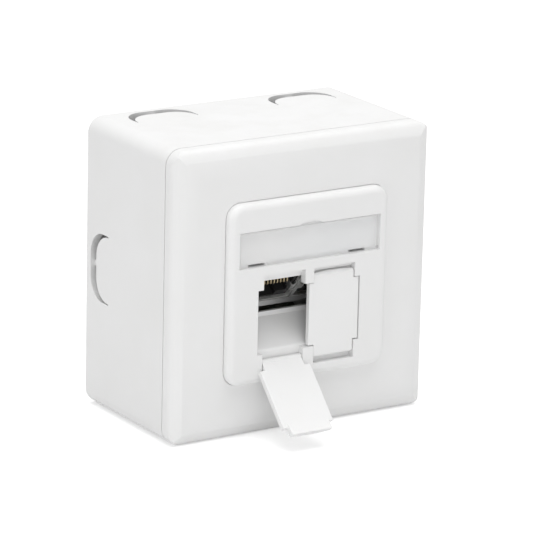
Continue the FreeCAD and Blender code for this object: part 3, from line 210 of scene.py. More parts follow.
class EffectTree(Graph):
    """Node group of a shared effect: it takes a vector and a size, and gives a height and a mask."""

    def __init__(self, effect: SharedEffect) -> None:
        """Builds the group.

        Args:
            effect: Which effect.
        """
        group = bpy.data.node_groups.new(effect.value, "ShaderNodeTree")
        super().__init__(group)
        sockets = {"Vector": ("INPUT", "NodeSocketVector"), "Size": ("INPUT", "NodeSocketFloat"),
                   "Height": ("OUTPUT", "NodeSocketFloat"), "Mask": ("OUTPUT", "NodeSocketFloat")}
        for title, (way, kind) in sockets.items():
            group.interface.new_socket(title, in_out=way, socket_type=kind)
        self.source = self.add("NodeGroupInput")
        sink = self.add("NodeGroupOutput")
        fill = {SharedEffect.GRAIN: self.grain, SharedEffect.DUST: self.dust, SharedEffect.DRAWN: self.drawn}
        for title, result in zip(("Height", "Mask"), fill[effect]()):
            self.join(result, sink.inputs[title])

    def sized_vector(self, stretch: Point = (1.0, 1.0, 1.0)) -> Socket:
        """Divides the group's vector by its size, with a stretch for each axis.

        Args:
            stretch: Factor on each axis.

        Returns:
            A vector in units of the pattern's size.
        """
        inverse = self.add("ShaderNodeMath", operation="DIVIDE")
        inverse.inputs[0].default_value = 1.0
        self.join(self.source.outputs["Size"], inverse.inputs[1])
        scale = self.add("ShaderNodeVectorMath", operation="SCALE")
        self.join(self.source.outputs["Vector"], scale.inputs[0])
        self.join(inverse.outputs[0], scale.inputs["Scale"])
        product = self.add("ShaderNodeVectorMath", operation="MULTIPLY")
        self.join(scale.outputs[0], product.inputs[0])
        product.inputs[1].default_value = stretch
        return product.outputs[0]

    def grain(self) -> tuple[Socket, Socket]:
        """Makes the eroded grain of a moulding tool.

        Returns:
            Height of the grain, and a broad mask of how the melt has flowed.
        """
        vector = self.sized_vector()
        pits = self.add("ShaderNodeTexVoronoi", feature="SMOOTH_F1")
        self.join(vector, pits.inputs["Vector"])
        self.put(pits, Scale=1.0, Smoothness=0.6)
        fine = self.noise(vector, 0.55, 3.0, 0.6)
        height = self.sum(self.scaled(pits.outputs["Distance"], 0.6), self.scaled(fine, 0.7))
        flow = self.noise(vector, 90.0, 3.0, 0.55)
        return height, self.ranged(flow, 0.3, 0.7, 0.0, 1.0)

    def dust(self) -> tuple[Socket, Socket]:
        """Makes fine dust that lies on what faces up.

        Returns:
            Height of the specks, and a mask of where dust lies.
        """
        vector = self.sized_vector()
        specks = self.add("ShaderNodeTexVoronoi", feature="F1")
        self.join(vector, specks.inputs["Vector"])
        self.put(specks, Scale=1.0, Randomness=1.0)
        speck = self.ranged(specks.outputs["Distance"], 0.05, 0.16, 1.0, 0.0)
        patches = self.ranged(self.noise(vector, 22.0, 3.0, 0.6), 0.42, 0.66, 0.0, 1.0)
        geometry = self.add("ShaderNodeNewGeometry")
        axes = self.add("ShaderNodeSeparateXYZ")
        self.join(geometry.outputs["Normal"], axes.inputs[0])
        upward = self.ranged(axes.outputs["Z"], 0.1, 0.9, 0.0, 1.0)
        veil = self.sum(patches, upward, "MULTIPLY")
        return self.sum(speck, upward, "MULTIPLY"), veil

    def drawn(self) -> tuple[Socket, Socket]:
        """Makes the fine lines of rolled or drawn metal.

        Returns:
            Height of the lines, and a mask of duller patches.
        """
        lines = self.noise(self.sized_vector((0.04, 1.0, 1.0)), 1.0, 4.0, 0.6)
        cloud = self.noise(self.sized_vector(), 30.0, 3.0, 0.6)
        return lines, self.ranged(cloud, 0.35, 0.7, 0.0, 1.0)


# -------------------------------------------------------------------- finishes
class Surface(Graph):
    """A material's tree, with its shader and its object coordinates."""

    def __init__(self, name: str) -> None:
        """Starts the material.

        Args:
            name: The material's name.
        """
        self.material = bpy.data.materials.new(name)
        self.material.use_nodes = True
        super().__init__(self.material.node_tree)
        self.shader = self.add("ShaderNodeBsdfPrincipled")
        self.out = self.add("ShaderNodeOutputMaterial")
        self.join(self.shader.outputs["BSDF"], self.out.inputs["Surface"])
        self.place = self.add("ShaderNodeTexCoord").outputs["Object"]

    def effect(self, effect: SharedEffect, size: float) -> Node:
        """Places a shared effect, whose group is built at its first use.

        Args:
            effect: Which effect.
            size: Size of its pattern, in metres.

        Returns:
            The group node.
        """
        group = bpy.data.node_groups.get(effect.value) or EffectTree(effect).tree
        node = self.add("ShaderNodeGroup", node_tree=group)
        self.join(self.place, node.inputs["Vector"])
        return self.put(node, Size=size)

    def blend(self, mask: Socket, first: Colour | Socket, second: Colour) -> Socket:
        """Mixes two colours by a mask.

        Args:
            mask: 0 gives the first colour, 1 the second.
            first: A colour, or an output that gives one.
            second: A colour.

        Returns:
            The mixed colour.
        """
        node = self.add("ShaderNodeMix", data_type="RGBA")
        self.join(mask, node.inputs[0])
        if isinstance(first, Socket):
            self.join(first, node.inputs[6])
        else:
            node.inputs[6].default_value = (*first, 1.0)
        node.inputs[7].default_value = (*second, 1.0)
        return node.outputs[2]

    def feed(self, title: str, value: Socket) -> None:
        """Links a value to a named input of the shader."""
        self.join(value, self.shader.inputs[title])

    def bump(self, height: Socket, depth: float) -> None:
        """Feeds a height to the shader's normal.

        Args:
            height: Height, in units of the depth.
            depth: Depth of the relief, in metres.
        """
        node = self.put(self.add("ShaderNodeBump"), Strength=1.0, Distance=depth)
        self.join(height, node.inputs["Height"])
        self.feed("Normal", node.outputs["Normal"])


@dataclass(frozen=True)
class MouldedPlastic:
    """Injection-moulded plastic with tool grain, flow shade and settled dust."""

    name: str
    colour: Colour
    shade: Colour
    roughness: float
    grain_size: float = 0.16 * MM
    grain_depth: float = 0.004 * MM
    dust: float = 0.10
    dust_size: float = 0.5 * MM
    dust_colour: Colour = (0.62, 0.60, 0.56)
    gloss: float = 0.45

    def material(self) -> bpy.types.Material:
        """Builds the material.

        Returns:
            The new material.
        """
        surface = Surface(self.name)
        grain = surface.effect(SharedEffect.GRAIN, self.grain_size)
        dust = surface.effect(SharedEffect.DUST, self.dust_size)
        tinted = surface.blend(grain.outputs["Mask"], self.colour, self.shade)
        veil = surface.scaled(surface.sum(dust.outputs["Mask"], dust.outputs["Height"]), self.dust)
        surface.feed("Base Color", surface.blend(veil, tinted, self.dust_colour))
        rough = surface.ranged(grain.outputs["Mask"], 0.0, 1.0, self.roughness - 0.04, self.roughness + 0.04)
        surface.feed("Roughness", surface.sum(rough, veil))
        surface.put(surface.shader, Specular_IOR_Level=self.gloss)
        surface.bump(grain.outputs["Height"], self.grain_depth)
        return surface.material


@dataclass(frozen=True)
class Metal:
    """Bare metal, rolled, drawn or cast, with a fine surface pattern and duller patches."""

    name: str
    colour: Colour
    dull: Colour
    roughness: float
    effect: SharedEffect = SharedEffect.DRAWN
    pattern_size: float = 0.08 * MM
    pattern_depth: float = 0.002 * MM
    metallic: float = 1.0
    spread: tuple[float, float] = (-0.05, 0.08)

    def material(self) -> bpy.types.Material:
        """Builds the material.

        Returns:
            The new material.
        """
        surface = Surface(self.name)
        skin = surface.effect(self.effect, self.pattern_size)
        mask = skin.outputs["Mask"]
        surface.feed("Base Color", surface.blend(mask, self.colour, self.dull))
        smooth, rough = (self.roughness + change for change in self.spread)
        surface.feed("Roughness", surface.ranged(mask, 0.0, 1.0, smooth, rough))
        surface.put(surface.shader, Metallic=self.metallic)
        surface.bump(skin.outputs["Height"], self.pattern_depth)
        return surface.material


@dataclass(frozen=True)
class ClearPlastic:
    """Clear moulded cover over the label, with faint rubbing marks."""

    name: str
    colour: Colour
    roughness: float
    alpha: float
    grain_size: float = 0.3 * MM
    line_size: float = 0.1 * MM
    line_depth: float = 0.0006 * MM

    def material(self) -> bpy.types.Material:
        """Builds the material.

        Returns:
            The new material.
        """
        surface = Surface(self.name)
        grain = surface.effect(SharedEffect.GRAIN, self.grain_size)
        drawn = surface.effect(SharedEffect.DRAWN, self.line_size)
        red, green, blue = self.colour
        cooler = (red * 0.96, green * 0.98, blue)
        surface.feed("Base Color", surface.blend(grain.outputs["Mask"], self.colour, cooler))
        lines = drawn.outputs["Height"]
        surface.feed("Roughness", surface.ranged(lines, 0.4, 0.7, self.roughness, self.roughness + 0.1))
        surface.put(surface.shader, Alpha=self.alpha, Specular_IOR_Level=0.5)
        surface.bump(lines, self.line_depth)
        return surface.material


@dataclass(frozen=True)
class Card:
    """Plain label card with paper fibres."""

    name: str
    colour: Colour
    fibre: Colour
    fibre_size: float = 0.12 * MM
    fibre_depth: float = 0.01 * MM

    def material(self) -> bpy.types.Material:
        """Builds the material.

        Returns:
            The new material.
        """
        surface = Surface(self.name)
        height = surface.effect(SharedEffect.DRAWN, self.fibre_size).outputs["Height"]
        mask = surface.ranged(height, 0.35, 0.7, 0.0, 1.0)
        surface.feed("Base Color", surface.blend(mask, self.colour, self.fibre))
        surface.feed("Roughness", surface.ranged(mask, 0.0, 1.0, 0.8, 0.95))
        surface.bump(height, self.fibre_depth)
        return surface.material


@dataclass(frozen=True)
class Laminate:
    """Solder-masked circuit board with a faint glass weave and copper tracks."""

    name: str
    colour: Colour
    track: Colour
    weave_size: float = 0.25 * MM
    track_depth: float = 0.01 * MM

    def material(self) -> bpy.types.Material:
        """Builds the material.

        Returns:
            The new material.
        """
        surface = Surface(self.name)
        weave = surface.effect(SharedEffect.DRAWN, self.weave_size)
        tracks = surface.add("ShaderNodeTexWave", wave_type="BANDS", bands_direction="X")
        surface.join(surface.place, tracks.inputs["Vector"])
        surface.put(tracks, Scale=260.0, Distortion=1.5, Detail=1.0)
        mask = surface.ranged(tracks.outputs["Fac"], 0.72, 0.8, 0.0, 1.0)
        surface.feed("Base Color", surface.blend(mask, self.colour, self.track))
        surface.feed("Roughness", surface.ranged(weave.outputs["Mask"], 0.0, 1.0, 0.3, 0.42))
        surface.bump(surface.sum(mask, weave.outputs["Height"]), self.track_depth)
        return surface.material


class Finish(Enum):
    """Every finish on the box."""

    HOUSING = MouldedPlastic("housing_white", (0.84, 0.84, 0.84), (0.825, 0.825, 0.82), 0.42)
    FLAP = MouldedPlastic("flap_white", (0.85, 0.85, 0.85), (0.84, 0.84, 0.835), 0.34,
                          grain_depth=0.002 * MM, dust=0.04)
    COVER = ClearPlastic("cover_clear", (0.9, 0.9, 0.9), 0.12, 0.16)
    CARD = Card("card_plain", (0.88, 0.88, 0.88), (0.865, 0.865, 0.86))
    CASTING = Metal("zinc_casting", (0.36, 0.36, 0.36), (0.28, 0.28, 0.28), 0.45, SharedEffect.GRAIN,
                    pattern_size=0.5 * MM, pattern_depth=0.015 * MM, metallic=0.9, spread=(0.0, 0.12))
    TIN = Metal("tinned_sheet", (0.74, 0.74, 0.73), (0.62, 0.62, 0.61), 0.4)
    ZINC = Metal("zinc_plate", (0.58, 0.58, 0.55), (0.46, 0.46, 0.44), 0.36)
    BLACK = MouldedPlastic("jack_black", (0.012, 0.012, 0.012), (0.018, 0.018, 0.018), 0.4,
                           grain_size=0.12 * MM, dust=0.05, dust_colour=(0.2, 0.19, 0.18), gloss=0.22)
    # Contact wire gold, darkened well below real gold: painted shade for the dim inside of the ports.
    SHADED_GOLD = Metal("gold_wire_painted_shade", (0.40, 0.33, 0.21), (0.30, 0.25, 0.16), 0.42)
    BOARD = Laminate("board_green", (0.008, 0.075, 0.022), (0.03, 0.16, 0.05))
    TERMINAL = MouldedPlastic("terminal_ivory", (0.62, 0.61, 0.55), (0.58, 0.57, 0.51), 0.4, dust=0.05)


MATERIALS: dict[Finish, bpy.types.Material] = {}


def material_of(finish: Finish) -> bpy.types.Material:
    """Gives the one material of a finish, built at its first use.

    Args:
        finish: The finish.

    Returns:
        Its material.
    """
    if finish not in MATERIALS:
        MATERIALS[finish] = finish.value.material()
    return MATERIALS[finish]


# ---------------------------------------------------------------- mesh helpers
def paint(piece: Piece, finish: Finish) -> None:
    """Gives a piece one finish all over."""
    piece.data.materials.clear()
    piece.data.materials.append(material_of(finish))


def paint_node(node: str, finish: Finish) -> None:
    """Assigns a finish to a solid's own material slots.

    Args:
        node: Name of the solid.
        finish: Its finish.
    """
    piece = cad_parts[node]
    if not piece.material_slots:
        piece.data.materials.append(material_of(finish))
    for slot in piece.material_slots:
        slot.material = material_of(finish)
    LOG.info("%s: %s", node, finish.name.lower())


def settle(piece: Piece) -> None:
    """Turns the evaluated piece, with its modifiers, into a plain mesh of its own.

    Args:
        piece: The piece to settle.
    """
    bpy.context.view_layer.update()
    evaluated = piece.evaluated_get(bpy.context.evaluated_depsgraph_get())
    mesh = bpy.data.meshes.new_from_object(evaluated)
    piece.modifiers.clear()
    piece.data = mesh


def block_mesh(corners: Block) -> Mesh:
    """Makes the mesh of a plain block.

    Args:
        corners: Its lowest and highest corner, in millimetres.

    Returns:
        The mesh.
    """
    low, high = corners
    size = [(b - a) * MM for a, b in zip(low, high)]
    middle = [(a + b) / 2 * MM for a, b in zip(low, high)]
    shape = bmesh.new()
    turn = Matrix.Translation(middle) @ Matrix.Diagonal((*size, 1.0))
    bmesh.ops.create_cube(shape, size=1.0, matrix=turn)
    mesh = bpy.data.meshes.new("block")
    shape.to_mesh(mesh)
    shape.free()
    return mesh


def carve(piece: Piece, blocks: list[Block], operation: str) -> None:
    """Cuts blocks out of a piece, or joins them to it.

    Args:
        piece: The piece to carve.
        blocks: Lowest and highest corner of each block, in millimetres.
        operation: DIFFERENCE or UNION.
    """
    for index, corners in enumerate(blocks):
        tool = bpy.data.objects.new(f"tool_{index}", block_mesh(corners))
        bpy.context.scene.collection.objects.link(tool)
        cut = piece.modifiers.new("carve", "BOOLEAN")
        cut.object = tool
        cut.operation = operation
        cut.solver = "EXACT"
        settle(piece)
        bpy.data.objects.remove(tool)


def tidy_mesh(mesh: Mesh, merge: float, flat_deg: float = 0.0) -> None:
    """Merges doubles and flat neighbours and turns all faces outwards.

    Args:
        mesh: The mesh.
        merge: Points closer than this become one, in metres.
        flat_deg: Neighbouring faces that turn by less than this become one, unless it is 0.
    """
    shape = bmesh.new()
    shape.from_mesh(mesh)
    bmesh.ops.remove_doubles(shape, verts=shape.verts, dist=merge)
    if flat_deg:
        bmesh.ops.dissolve_limit(shape, angle_limit=math.radians(flat_deg), verts=shape.verts,
                                 edges=shape.edges)
    bmesh.ops.recalc_face_normals(shape, faces=shape.faces)
    shape.to_mesh(mesh)
    shape.free()


def rounded_copy(node: str, name: str, radius: float, crease_deg: float = 32.0,
                 cuts: list[Block] | None = None, joins: list[Block] | None = None,
                 reshape: Callable[[Vector], Vector] | None = None) -> Piece:
    """Copies a solid as one clean mesh with softly rounded edges.

    Args:
        node: Name of the solid.
        name: Name of the new piece.
        radius: Edge radius, in metres.
        crease_deg: Edges that turn by more than this are rounded.
        cuts: Blocks to cut out before the edges are rounded.
        joins: Blocks to join on before the edges are rounded.
        reshape: Gives a point's new place, where the form is eased.

    Returns:
        The new piece, at the origin.
    """
    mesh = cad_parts[node].data.copy()
    mesh.name = name
    tidy_mesh(mesh, SOLID_MERGE, SOLID_FLAT_DEG)
    piece = bpy.data.objects.new(name, mesh)
    bpy.context.scene.collection.objects.link(piece)
    carve(piece, cuts or [], "DIFFERENCE")
    carve(piece, joins or [], "UNION")
    if cuts or joins:
        tidy_mesh(piece.data, SOLID_MERGE, SOLID_FLAT_DEG)
    if reshape:
        for point in piece.data.vertices:
            point.co = reshape(point.co)
    piece.data.shade_smooth()
    soften = piece.modifiers.new("soft_edges", "BEVEL")
    soften.width = radius
    soften.segments = 3
    soften.limit_method = "ANGLE"
    soften.angle_limit = math.radians(crease_deg)
    soften.use_clamp_overlap = True
    soften.harden_normals = False
    weights = piece.modifiers.new("face_weights", "WEIGHTED_NORMAL")
    weights.keep_sharp = True
    settle(piece)
    return piece


def add_piece(piece: Piece, body: str, finish: Finish) -> None:
    """Adds a finished piece that no solid shows.

    Args:
        piece: The piece.
        body: The body that it rides on.
        finish: Its finish.
    """
    paint(piece, finish)
    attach(piece, body)
    LOG.info("%s added on %s: %d faces", piece.name, body, len(piece.data.polygons))


def stand_for(piece: Piece, node: str, body: str, finish: Finish) -> None:
    """Puts a finished piece in the place of a solid.

    Args:
        piece: The piece.
        node: The solid that it stands for.
        body: The body that it rides on.
        finish: Its finish.
    """
    paint(piece, finish)
    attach(piece, body)
    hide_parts(node)
    LOG.info("%s stands for %s: %d faces", piece.name, node, len(piece.data.polygons))


# ------------------------------------------------------------- repeated shapes
class ShapeTree:
    """A geometry tree with named inputs, for pieces that repeat one small shape."""

    def __init__(self, name: str, inputs: dict[str, str]) -> None:
        """Starts a tree that takes a mesh and gives one.

        Args:
            name: Name of the tree.
            inputs: Socket type of each input, by its name.
        """
        self.group = bpy.data.node_groups.new(name, "GeometryNodeTree")
        self.group.interface.new_socket("Geometry", in_out="OUTPUT", socket_type="NodeSocketGeometry")
        self.group.interface.new_socket("Geometry", in_out="INPUT", socket_type="NodeSocketGeometry")
        for title, kind in inputs.items():
            self.group.interface.new_socket(title, in_out="INPUT", socket_type=kind)
        self.group.interface.new_socket("Finish", in_out="INPUT", socket_type="NodeSocketMaterial")
        self.graph = Graph(self.group)
        self.source = self.graph.add("NodeGroupInput")

    def value(self, title: str) -> Socket:
        """Gives the socket of a named input."""
        return self.source.outputs[title]

    def node(self, kind: str, links: dict[str | int, Socket] | None = None,
             **values: object) -> Node:
        """Adds a node and links its inputs.

        Args:
            kind: The node's type name.
            links: Sockets to link, by the name or number of the input.
            **values: Properties of the node, by name.

        Returns:
            The new node.
        """
        node = self.graph.add(kind, **values)
        for target, socket in (links or {}).items():
            self.graph.join(socket, node.inputs[target])
        return node

    def triple(self, **parts: Socket) -> Socket:
        """Makes a vector of the values given for X, Y and Z."""
        return self.node("ShaderNodeCombineXYZ", parts).outputs[0]

    def circle(self, radius: Socket, sides: int) -> Socket:
        """Adds a circle.

        Args:
            radius: Its radius.
            sides: Number of its straight runs.

        Returns:
            The circle's curve.
        """
        ring = self.node("GeometryNodeCurvePrimitiveCircle", {"Radius": radius}, mode="RADIUS")
        ring.inputs["Resolution"].default_value = sides
        return ring.outputs[0]

    def sweep(self, path: Socket, profile: Socket, capped: bool = True) -> Socket:
        """Sweeps a profile along a path.

        Args:
            path: Curve to follow.
            profile: Curve to sweep.
            capped: Whether the ends are closed.

        Returns:
            The swept mesh.
        """
        tube = self.node("GeometryNodeCurveToMesh", {"Curve": path, "Profile Curve": profile})
        tube.inputs["Fill Caps"].default_value = capped
        return tube.outputs[0]

    def scatter(self, points: Socket, shape: Socket, **links: Socket) -> Socket:
        """Sets a shape at every point of a mesh."""
        links.update(Points=points, Instance=shape)
        return self.node("GeometryNodeInstanceOnPoints", links).outputs[0]

    def finish(self, geometry: Socket) -> None:
        """Ends the tree: real meshes, in the finish that is asked for.

        Args:
            geometry: The instances to end with.
        """
        real = self.node("GeometryNodeRealizeInstances", {"Geometry": geometry})
        dressed = self.node("GeometryNodeSetMaterial",
                            {"Geometry": real.outputs[0], "Material": self.value("Finish")})
        self.node("NodeGroupOutput", {"Geometry": dressed.outputs[0]})

    def make(self, name: str, mesh: Mesh, finish: Finish, smooth_deg: float = 35.0,
             **values: object) -> Piece:
        """Runs the tree on a mesh and keeps the result as a plain mesh.

        Args:
            name: Name of the new piece.
            mesh: The mesh that the tree starts from.
            finish: The piece's finish.
            smooth_deg: Edges that turn by more than this stay sharp.
            **values: Values of the named inputs; an underscore stands for a space.

        Returns:
            The new piece, at the origin.
        """
        piece = bpy.data.objects.new(name, mesh)
        bpy.context.scene.collection.objects.link(piece)
        modifier = piece.modifiers.new("shape", "NODES")
        modifier.node_group = self.group
        sockets = {item.name: item.identifier for item in self.group.interface.items_tree
                   if item.item_type == "SOCKET" and item.in_out == "INPUT"}
        modifier[sockets["Finish"]] = material_of(finish)
        for title, value in values.items():
            modifier[sockets[title.replace("_", " ")]] = value
        settle(piece)
        piece.data.name = name
        tidy_mesh(piece.data, REPEAT_MERGE)
        piece.data.shade_smooth()
        piece.data.set_sharp_from_angle(angle=math.radians(smooth_deg))
        return piece


def points_mesh(name: str, points: list[Point], joined: bool = False) -> Mesh:
    """Makes a mesh of bare points, or of one line through them.

    Args:
        name: Name of the mesh.
        points: Its points, in millimetres.
        joined: Whether a line runs through them in order.

    Returns:
        The mesh.
    """
    mesh = bpy.data.meshes.new(name)
    runs = [(index, index + 1) for index in range(len(points) - 1)] if joined else []
    mesh.from_pydata([[value * MM for value in point] for point in points], runs, [])
    return mesh


def wire_tree() -> ShapeTree:
    """Builds the tree of a row of bent wires.

    Returns:
        The tree: it bends one wire along the mesh's line and repeats it across.
    """
    tree = ShapeTree("wire_row", {"Count": "NodeSocketInt", "Pitch": "NodeSocketFloat",
                                  "Bend Radius": "NodeSocketFloat", "Wire Radius": "NodeSocketFloat"})
    line = tree.node("GeometryNodeMeshToCurve", {"Mesh": tree.value("Geometry")})
    bent = tree.node("GeometryNodeFilletCurve",
                     {"Curve": line.outputs[0], "Radius": tree.value("Bend Radius")}, mode="POLY")
    bent.inputs["Count"].default_value = 5
    bent.inputs["Limit Radius"].default_value = True
    wire = tree.sweep(bent.outputs[0], tree.circle(tree.value("Wire Radius"), 10))
    places = tree.node("GeometryNodeMeshLine", {"Count": tree.value("Count"),
                                                "Offset": tree.triple(X=tree.value("Pitch"))})
    tree.finish(tree.scatter(places.outputs[0], wire))
    return tree


def grid_tree() -> ShapeTree:
    """Builds the tree of one shape on a tilted grid.

    Returns:
        The tree: it repeats the mesh on a grid, then tilts the grid about X and moves it.
    """
    tree = ShapeTree("tilted_grid", {"Columns": "NodeSocketInt", "Rows": "NodeSocketInt",
                                     "Width": "NodeSocketFloat", "Length": "NodeSocketFloat",
                                     "Tilt": "NodeSocketFloat", "Place": "NodeSocketVector"})
    places = tree.node("GeometryNodeMeshGrid", {"Size X": tree.value("Width"), "Size Y": tree.value("Length"),
                                                "Vertices X": tree.value("Columns"),
                                                "Vertices Y": tree.value("Rows")})
    grid = tree.scatter(places.outputs["Mesh"], tree.value("Geometry"))
    turned = tree.node("GeometryNodeTransform", {"Geometry": grid, "Translation": tree.value("Place"),
                                                 "Rotation": tree.triple(X=tree.value("Tilt"))})
    tree.finish(turned.outputs[0])
    return tree


HEX_SIDES = 6
THREADED_PART = 0.86


def screw_tree() -> ShapeTree:
    """Builds the tree of threaded hexagon screws.

    Returns:
        The tree: it sets one screw at each point of the mesh, its shank along +Y before the turn.
    """
    tree = ShapeTree("hexagon_screws", {"Head Half": "NodeSocketFloat", "Head Rise": "NodeSocketFloat",
                                        "Core": "NodeSocketFloat", "Thread": "NodeSocketFloat",
                                        "Length": "NodeSocketFloat", "Turns": "NodeSocketFloat",
                                        "Tilt": "NodeSocketFloat"})
    scaled = tree.graph.scaled
    rise = tree.value("Head Rise")
    half = tree.value("Head Half")
    core = tree.value("Core")
    length = tree.value("Length")
    corner = scaled(half, 1 / math.cos(math.pi / HEX_SIDES))
    # sides, radius at the foot, radius at the top, depth and foot of: cap, hexagon, collar, shank
    barrels = (
        (HEX_SIDES, scaled(corner, 0.88), scaled(corner, 0.995), scaled(rise, 0.27), scaled(rise, -1.0)),
        (HEX_SIDES, corner, corner, scaled(rise, 0.6), scaled(rise, -0.75)),
        (24, half, half, scaled(rise, 0.2), scaled(rise, -0.2)),
        (20, core, core, length, scaled(rise, 0.0)),
    )
    whole = tree.node("GeometryNodeJoinGeometry")
    for sides, low, high, depth, foot in barrels:
        cone = tree.node("GeometryNodeMeshCone", {"Radius Bottom": low, "Radius Top": high, "Depth": depth})
        cone.inputs["Vertices"].default_value = sides
        moved = tree.node("GeometryNodeTransform",
                          {"Geometry": cone.outputs["Mesh"], "Translation": tree.triple(Z=foot)})
        twist = math.pi / HEX_SIDES if sides == HEX_SIDES else 0.0
        moved.inputs["Rotation"].default_value = (0.0, 0.0, twist)
        tree.graph.join(moved.outputs[0], whole.inputs[0])
    coil = tree.node("GeometryNodeCurveSpiral", {"Start Radius": core, "End Radius": core,
                                                 "Rotations": tree.value("Turns"),
                                                 "Height": scaled(length, THREADED_PART)})
    coil.inputs["Resolution"].default_value = 20
    thread = tree.sweep(coil.outputs[0], tree.circle(tree.value("Thread"), 4))
    start = tree.triple(Z=scaled(length, (1.0 - THREADED_PART) / 2))
    lowered = tree.node("GeometryNodeTransform", {"Geometry": thread, "Translation": start})
    tree.graph.join(lowered.outputs[0], whole.inputs[0])
    laid = tree.node("GeometryNodeTransform", {"Geometry": whole.outputs[0]})
    laid.inputs["Rotation"].default_value = (-math.pi / 2, 0.0, 0.0)
    turn = tree.triple(X=tree.value("Tilt"))
    tree.finish(tree.scatter(tree.value("Geometry"), laid.outputs[0], Rotation=turn))
    return tree


def mark_tree() -> ShapeTree:
    """Builds the tree of round ejector marks on a moulding.

    Returns:
        The tree: it lays one shallow ring at each point of the mesh, turned about X.
    """
    tree = ShapeTree("ejector_marks", {"Radius": "NodeSocketFloat", "Rim": "NodeSocketFloat",
                                       "Tilt": "NodeSocketFloat"})
    mark = tree.sweep(tree.circle(tree.value("Radius"), 28), tree.circle(tree.value("Rim"), 6), capped=False)
    turn = tree.triple(X=tree.value("Tilt"))
    tree.finish(tree.scatter(tree.value("Geometry"), mark, Rotation=turn))
    return tree


# -------------------------------------------------------------- sub-assemblies
@dataclass
class Housing:
    """Back box, cover frame and centre plate, all white mouldings."""

    body: str = "housing"
    edge_radius: float = 0.14 * MM
    plain: tuple[str, ...] = ("back_box", "cover_frame")
    tongue_slot: tuple[float, float, float] = (1.35, 14.3, 4.95)
    rebate_bottom: float = 2.95
    rebate_front: float = -49.2
    rebate_back: float = -46.95
    lintel_bottom: float = 2.75
    lintel_front: float = -46.45
    lintel_back: float = -46.1
    lintel_overlap: float = 0.4
    pin_slot_x: float = 15.7
    pin_slot_half: float = 2.6
    pin_slot_front: float = -47.4
    pin_slot_back: float = -45.0
    pin_slot_bottom: float = 7.3
    pin_slot_top: float = 8.0

    def plate_cuts(self) -> list[Block]:
        """Lists the rebates over the flaps and the slots under the label window.

        Returns:
            The blocks to cut out of the centre plate.
        """
        near, far, top = self.tongue_slot
        cuts: list[Block] = []
        for left, right in ((-far, -near), (near, far)):
            cuts.append(((left, self.rebate_front, self.rebate_bottom), (right, self.rebate_back, top)))
        for middle in (-self.pin_slot_x, self.pin_slot_x):
            cuts.append(((middle - self.pin_slot_half, self.pin_slot_front, self.pin_slot_bottom),
                         (middle + self.pin_slot_half, self.pin_slot_back, self.pin_slot_top)))
        return cuts

    def lintels(self) -> list[Block]:
        """Lists the thin strips that hang behind the upper edge of both openings.

        Returns:
            The blocks to join to the centre plate.
        """
        near, far, top = self.tongue_slot
        inner = near - self.lintel_overlap
        outer = far + self.lintel_overlap
        return [((left, self.lintel_front, self.lintel_bottom), (right, self.lintel_back, top))
                for left, right in ((-outer, -inner), (inner, outer))]

    def build(self) -> None:
        """Makes soft-edged copies of the three mouldings."""
        for node in self.plain:
            piece = rounded_copy(node, f"{node}_moulding", self.edge_radius)
            stand_for(piece, node, self.body, Finish.HOUSING)
        plate = rounded_copy("centre_plate", "centre_plate_moulding", self.edge_radius,
                             cuts=self.plate_cuts(), joins=self.lintels())
        stand_for(plate, "centre_plate", self.body, Finish.HOUSING)


@dataclass
class LabelHolder:
    """Clear window over a plain card."""

    edge_radius: float = 0.1 * MM

    def build(self) -> None:
        """Makes the window and dresses the card."""
        window = rounded_copy("label_window", "window_pane", self.edge_radius)
        stand_for(window, "label_window", "window", Finish.COVER)
        paint_node("label_card", Finish.CARD)


@dataclass
class DustFlaps:
    """The two flaps in front of the jacks, with the ejector marks of their mould."""

    edge_radius: float = 0.2 * MM
    sides: tuple[str, ...] = ("left", "right")
    open_deg: float = 136.0
    hinge: tuple[float, float] = (-47.7, -19.2)
    inner_face: float = -47.1
    mark_radius: float = 0.75 * MM
    mark_rim: float = 0.035 * MM
    marks: tuple[tuple[float, float], ...] = ((-11.2, -17.2), (-12.1, -8.3), (-2.4, -8.3), (-4.0, 0.7))

    def opening(self, side: str) -> float:
        """Gives how far a flap stands open at rest, in radians."""
        return math.radians(self.open_deg) if side == "left" else 0.0

    def mark_points(self, side: str) -> list[Point]:
        """Places the ejector marks on a flap's inner face, as it stands at rest.

        Args:
            side: Which flap.

        Returns:
            The middle of each mark, in millimetres.
        """
        axis_y, axis_z = self.hinge
        turn = Matrix.Rotation(self.opening(side), 3, "X")
        points = []
        for x, z in self.marks:
            arm = turn @ Vector((0.0, self.inner_face - axis_y, z - axis_z))
            points.append((x if side == "left" else -x, axis_y + arm.y, axis_z + arm.z))
        return points

    def build(self) -> None:
        """Makes soft-edged copies of both flaps and marks them."""
        tree = mark_tree()
        for side in self.sides:
            piece = rounded_copy(f"dust_flap_{side}", f"flap_{side}_moulding", self.edge_radius)
            stand_for(piece, f"dust_flap_{side}", f"flap_{side}", Finish.FLAP)
            points = points_mesh("mark_points", self.mark_points(side))
            marks = tree.make(f"ejector_marks_{side}", points, Finish.FLAP, Radius=self.mark_radius,
                              Rim=self.mark_rim, Tilt=self.opening(side) + math.pi / 2)
            add_piece(marks, f"flap_{side}", Finish.FLAP)


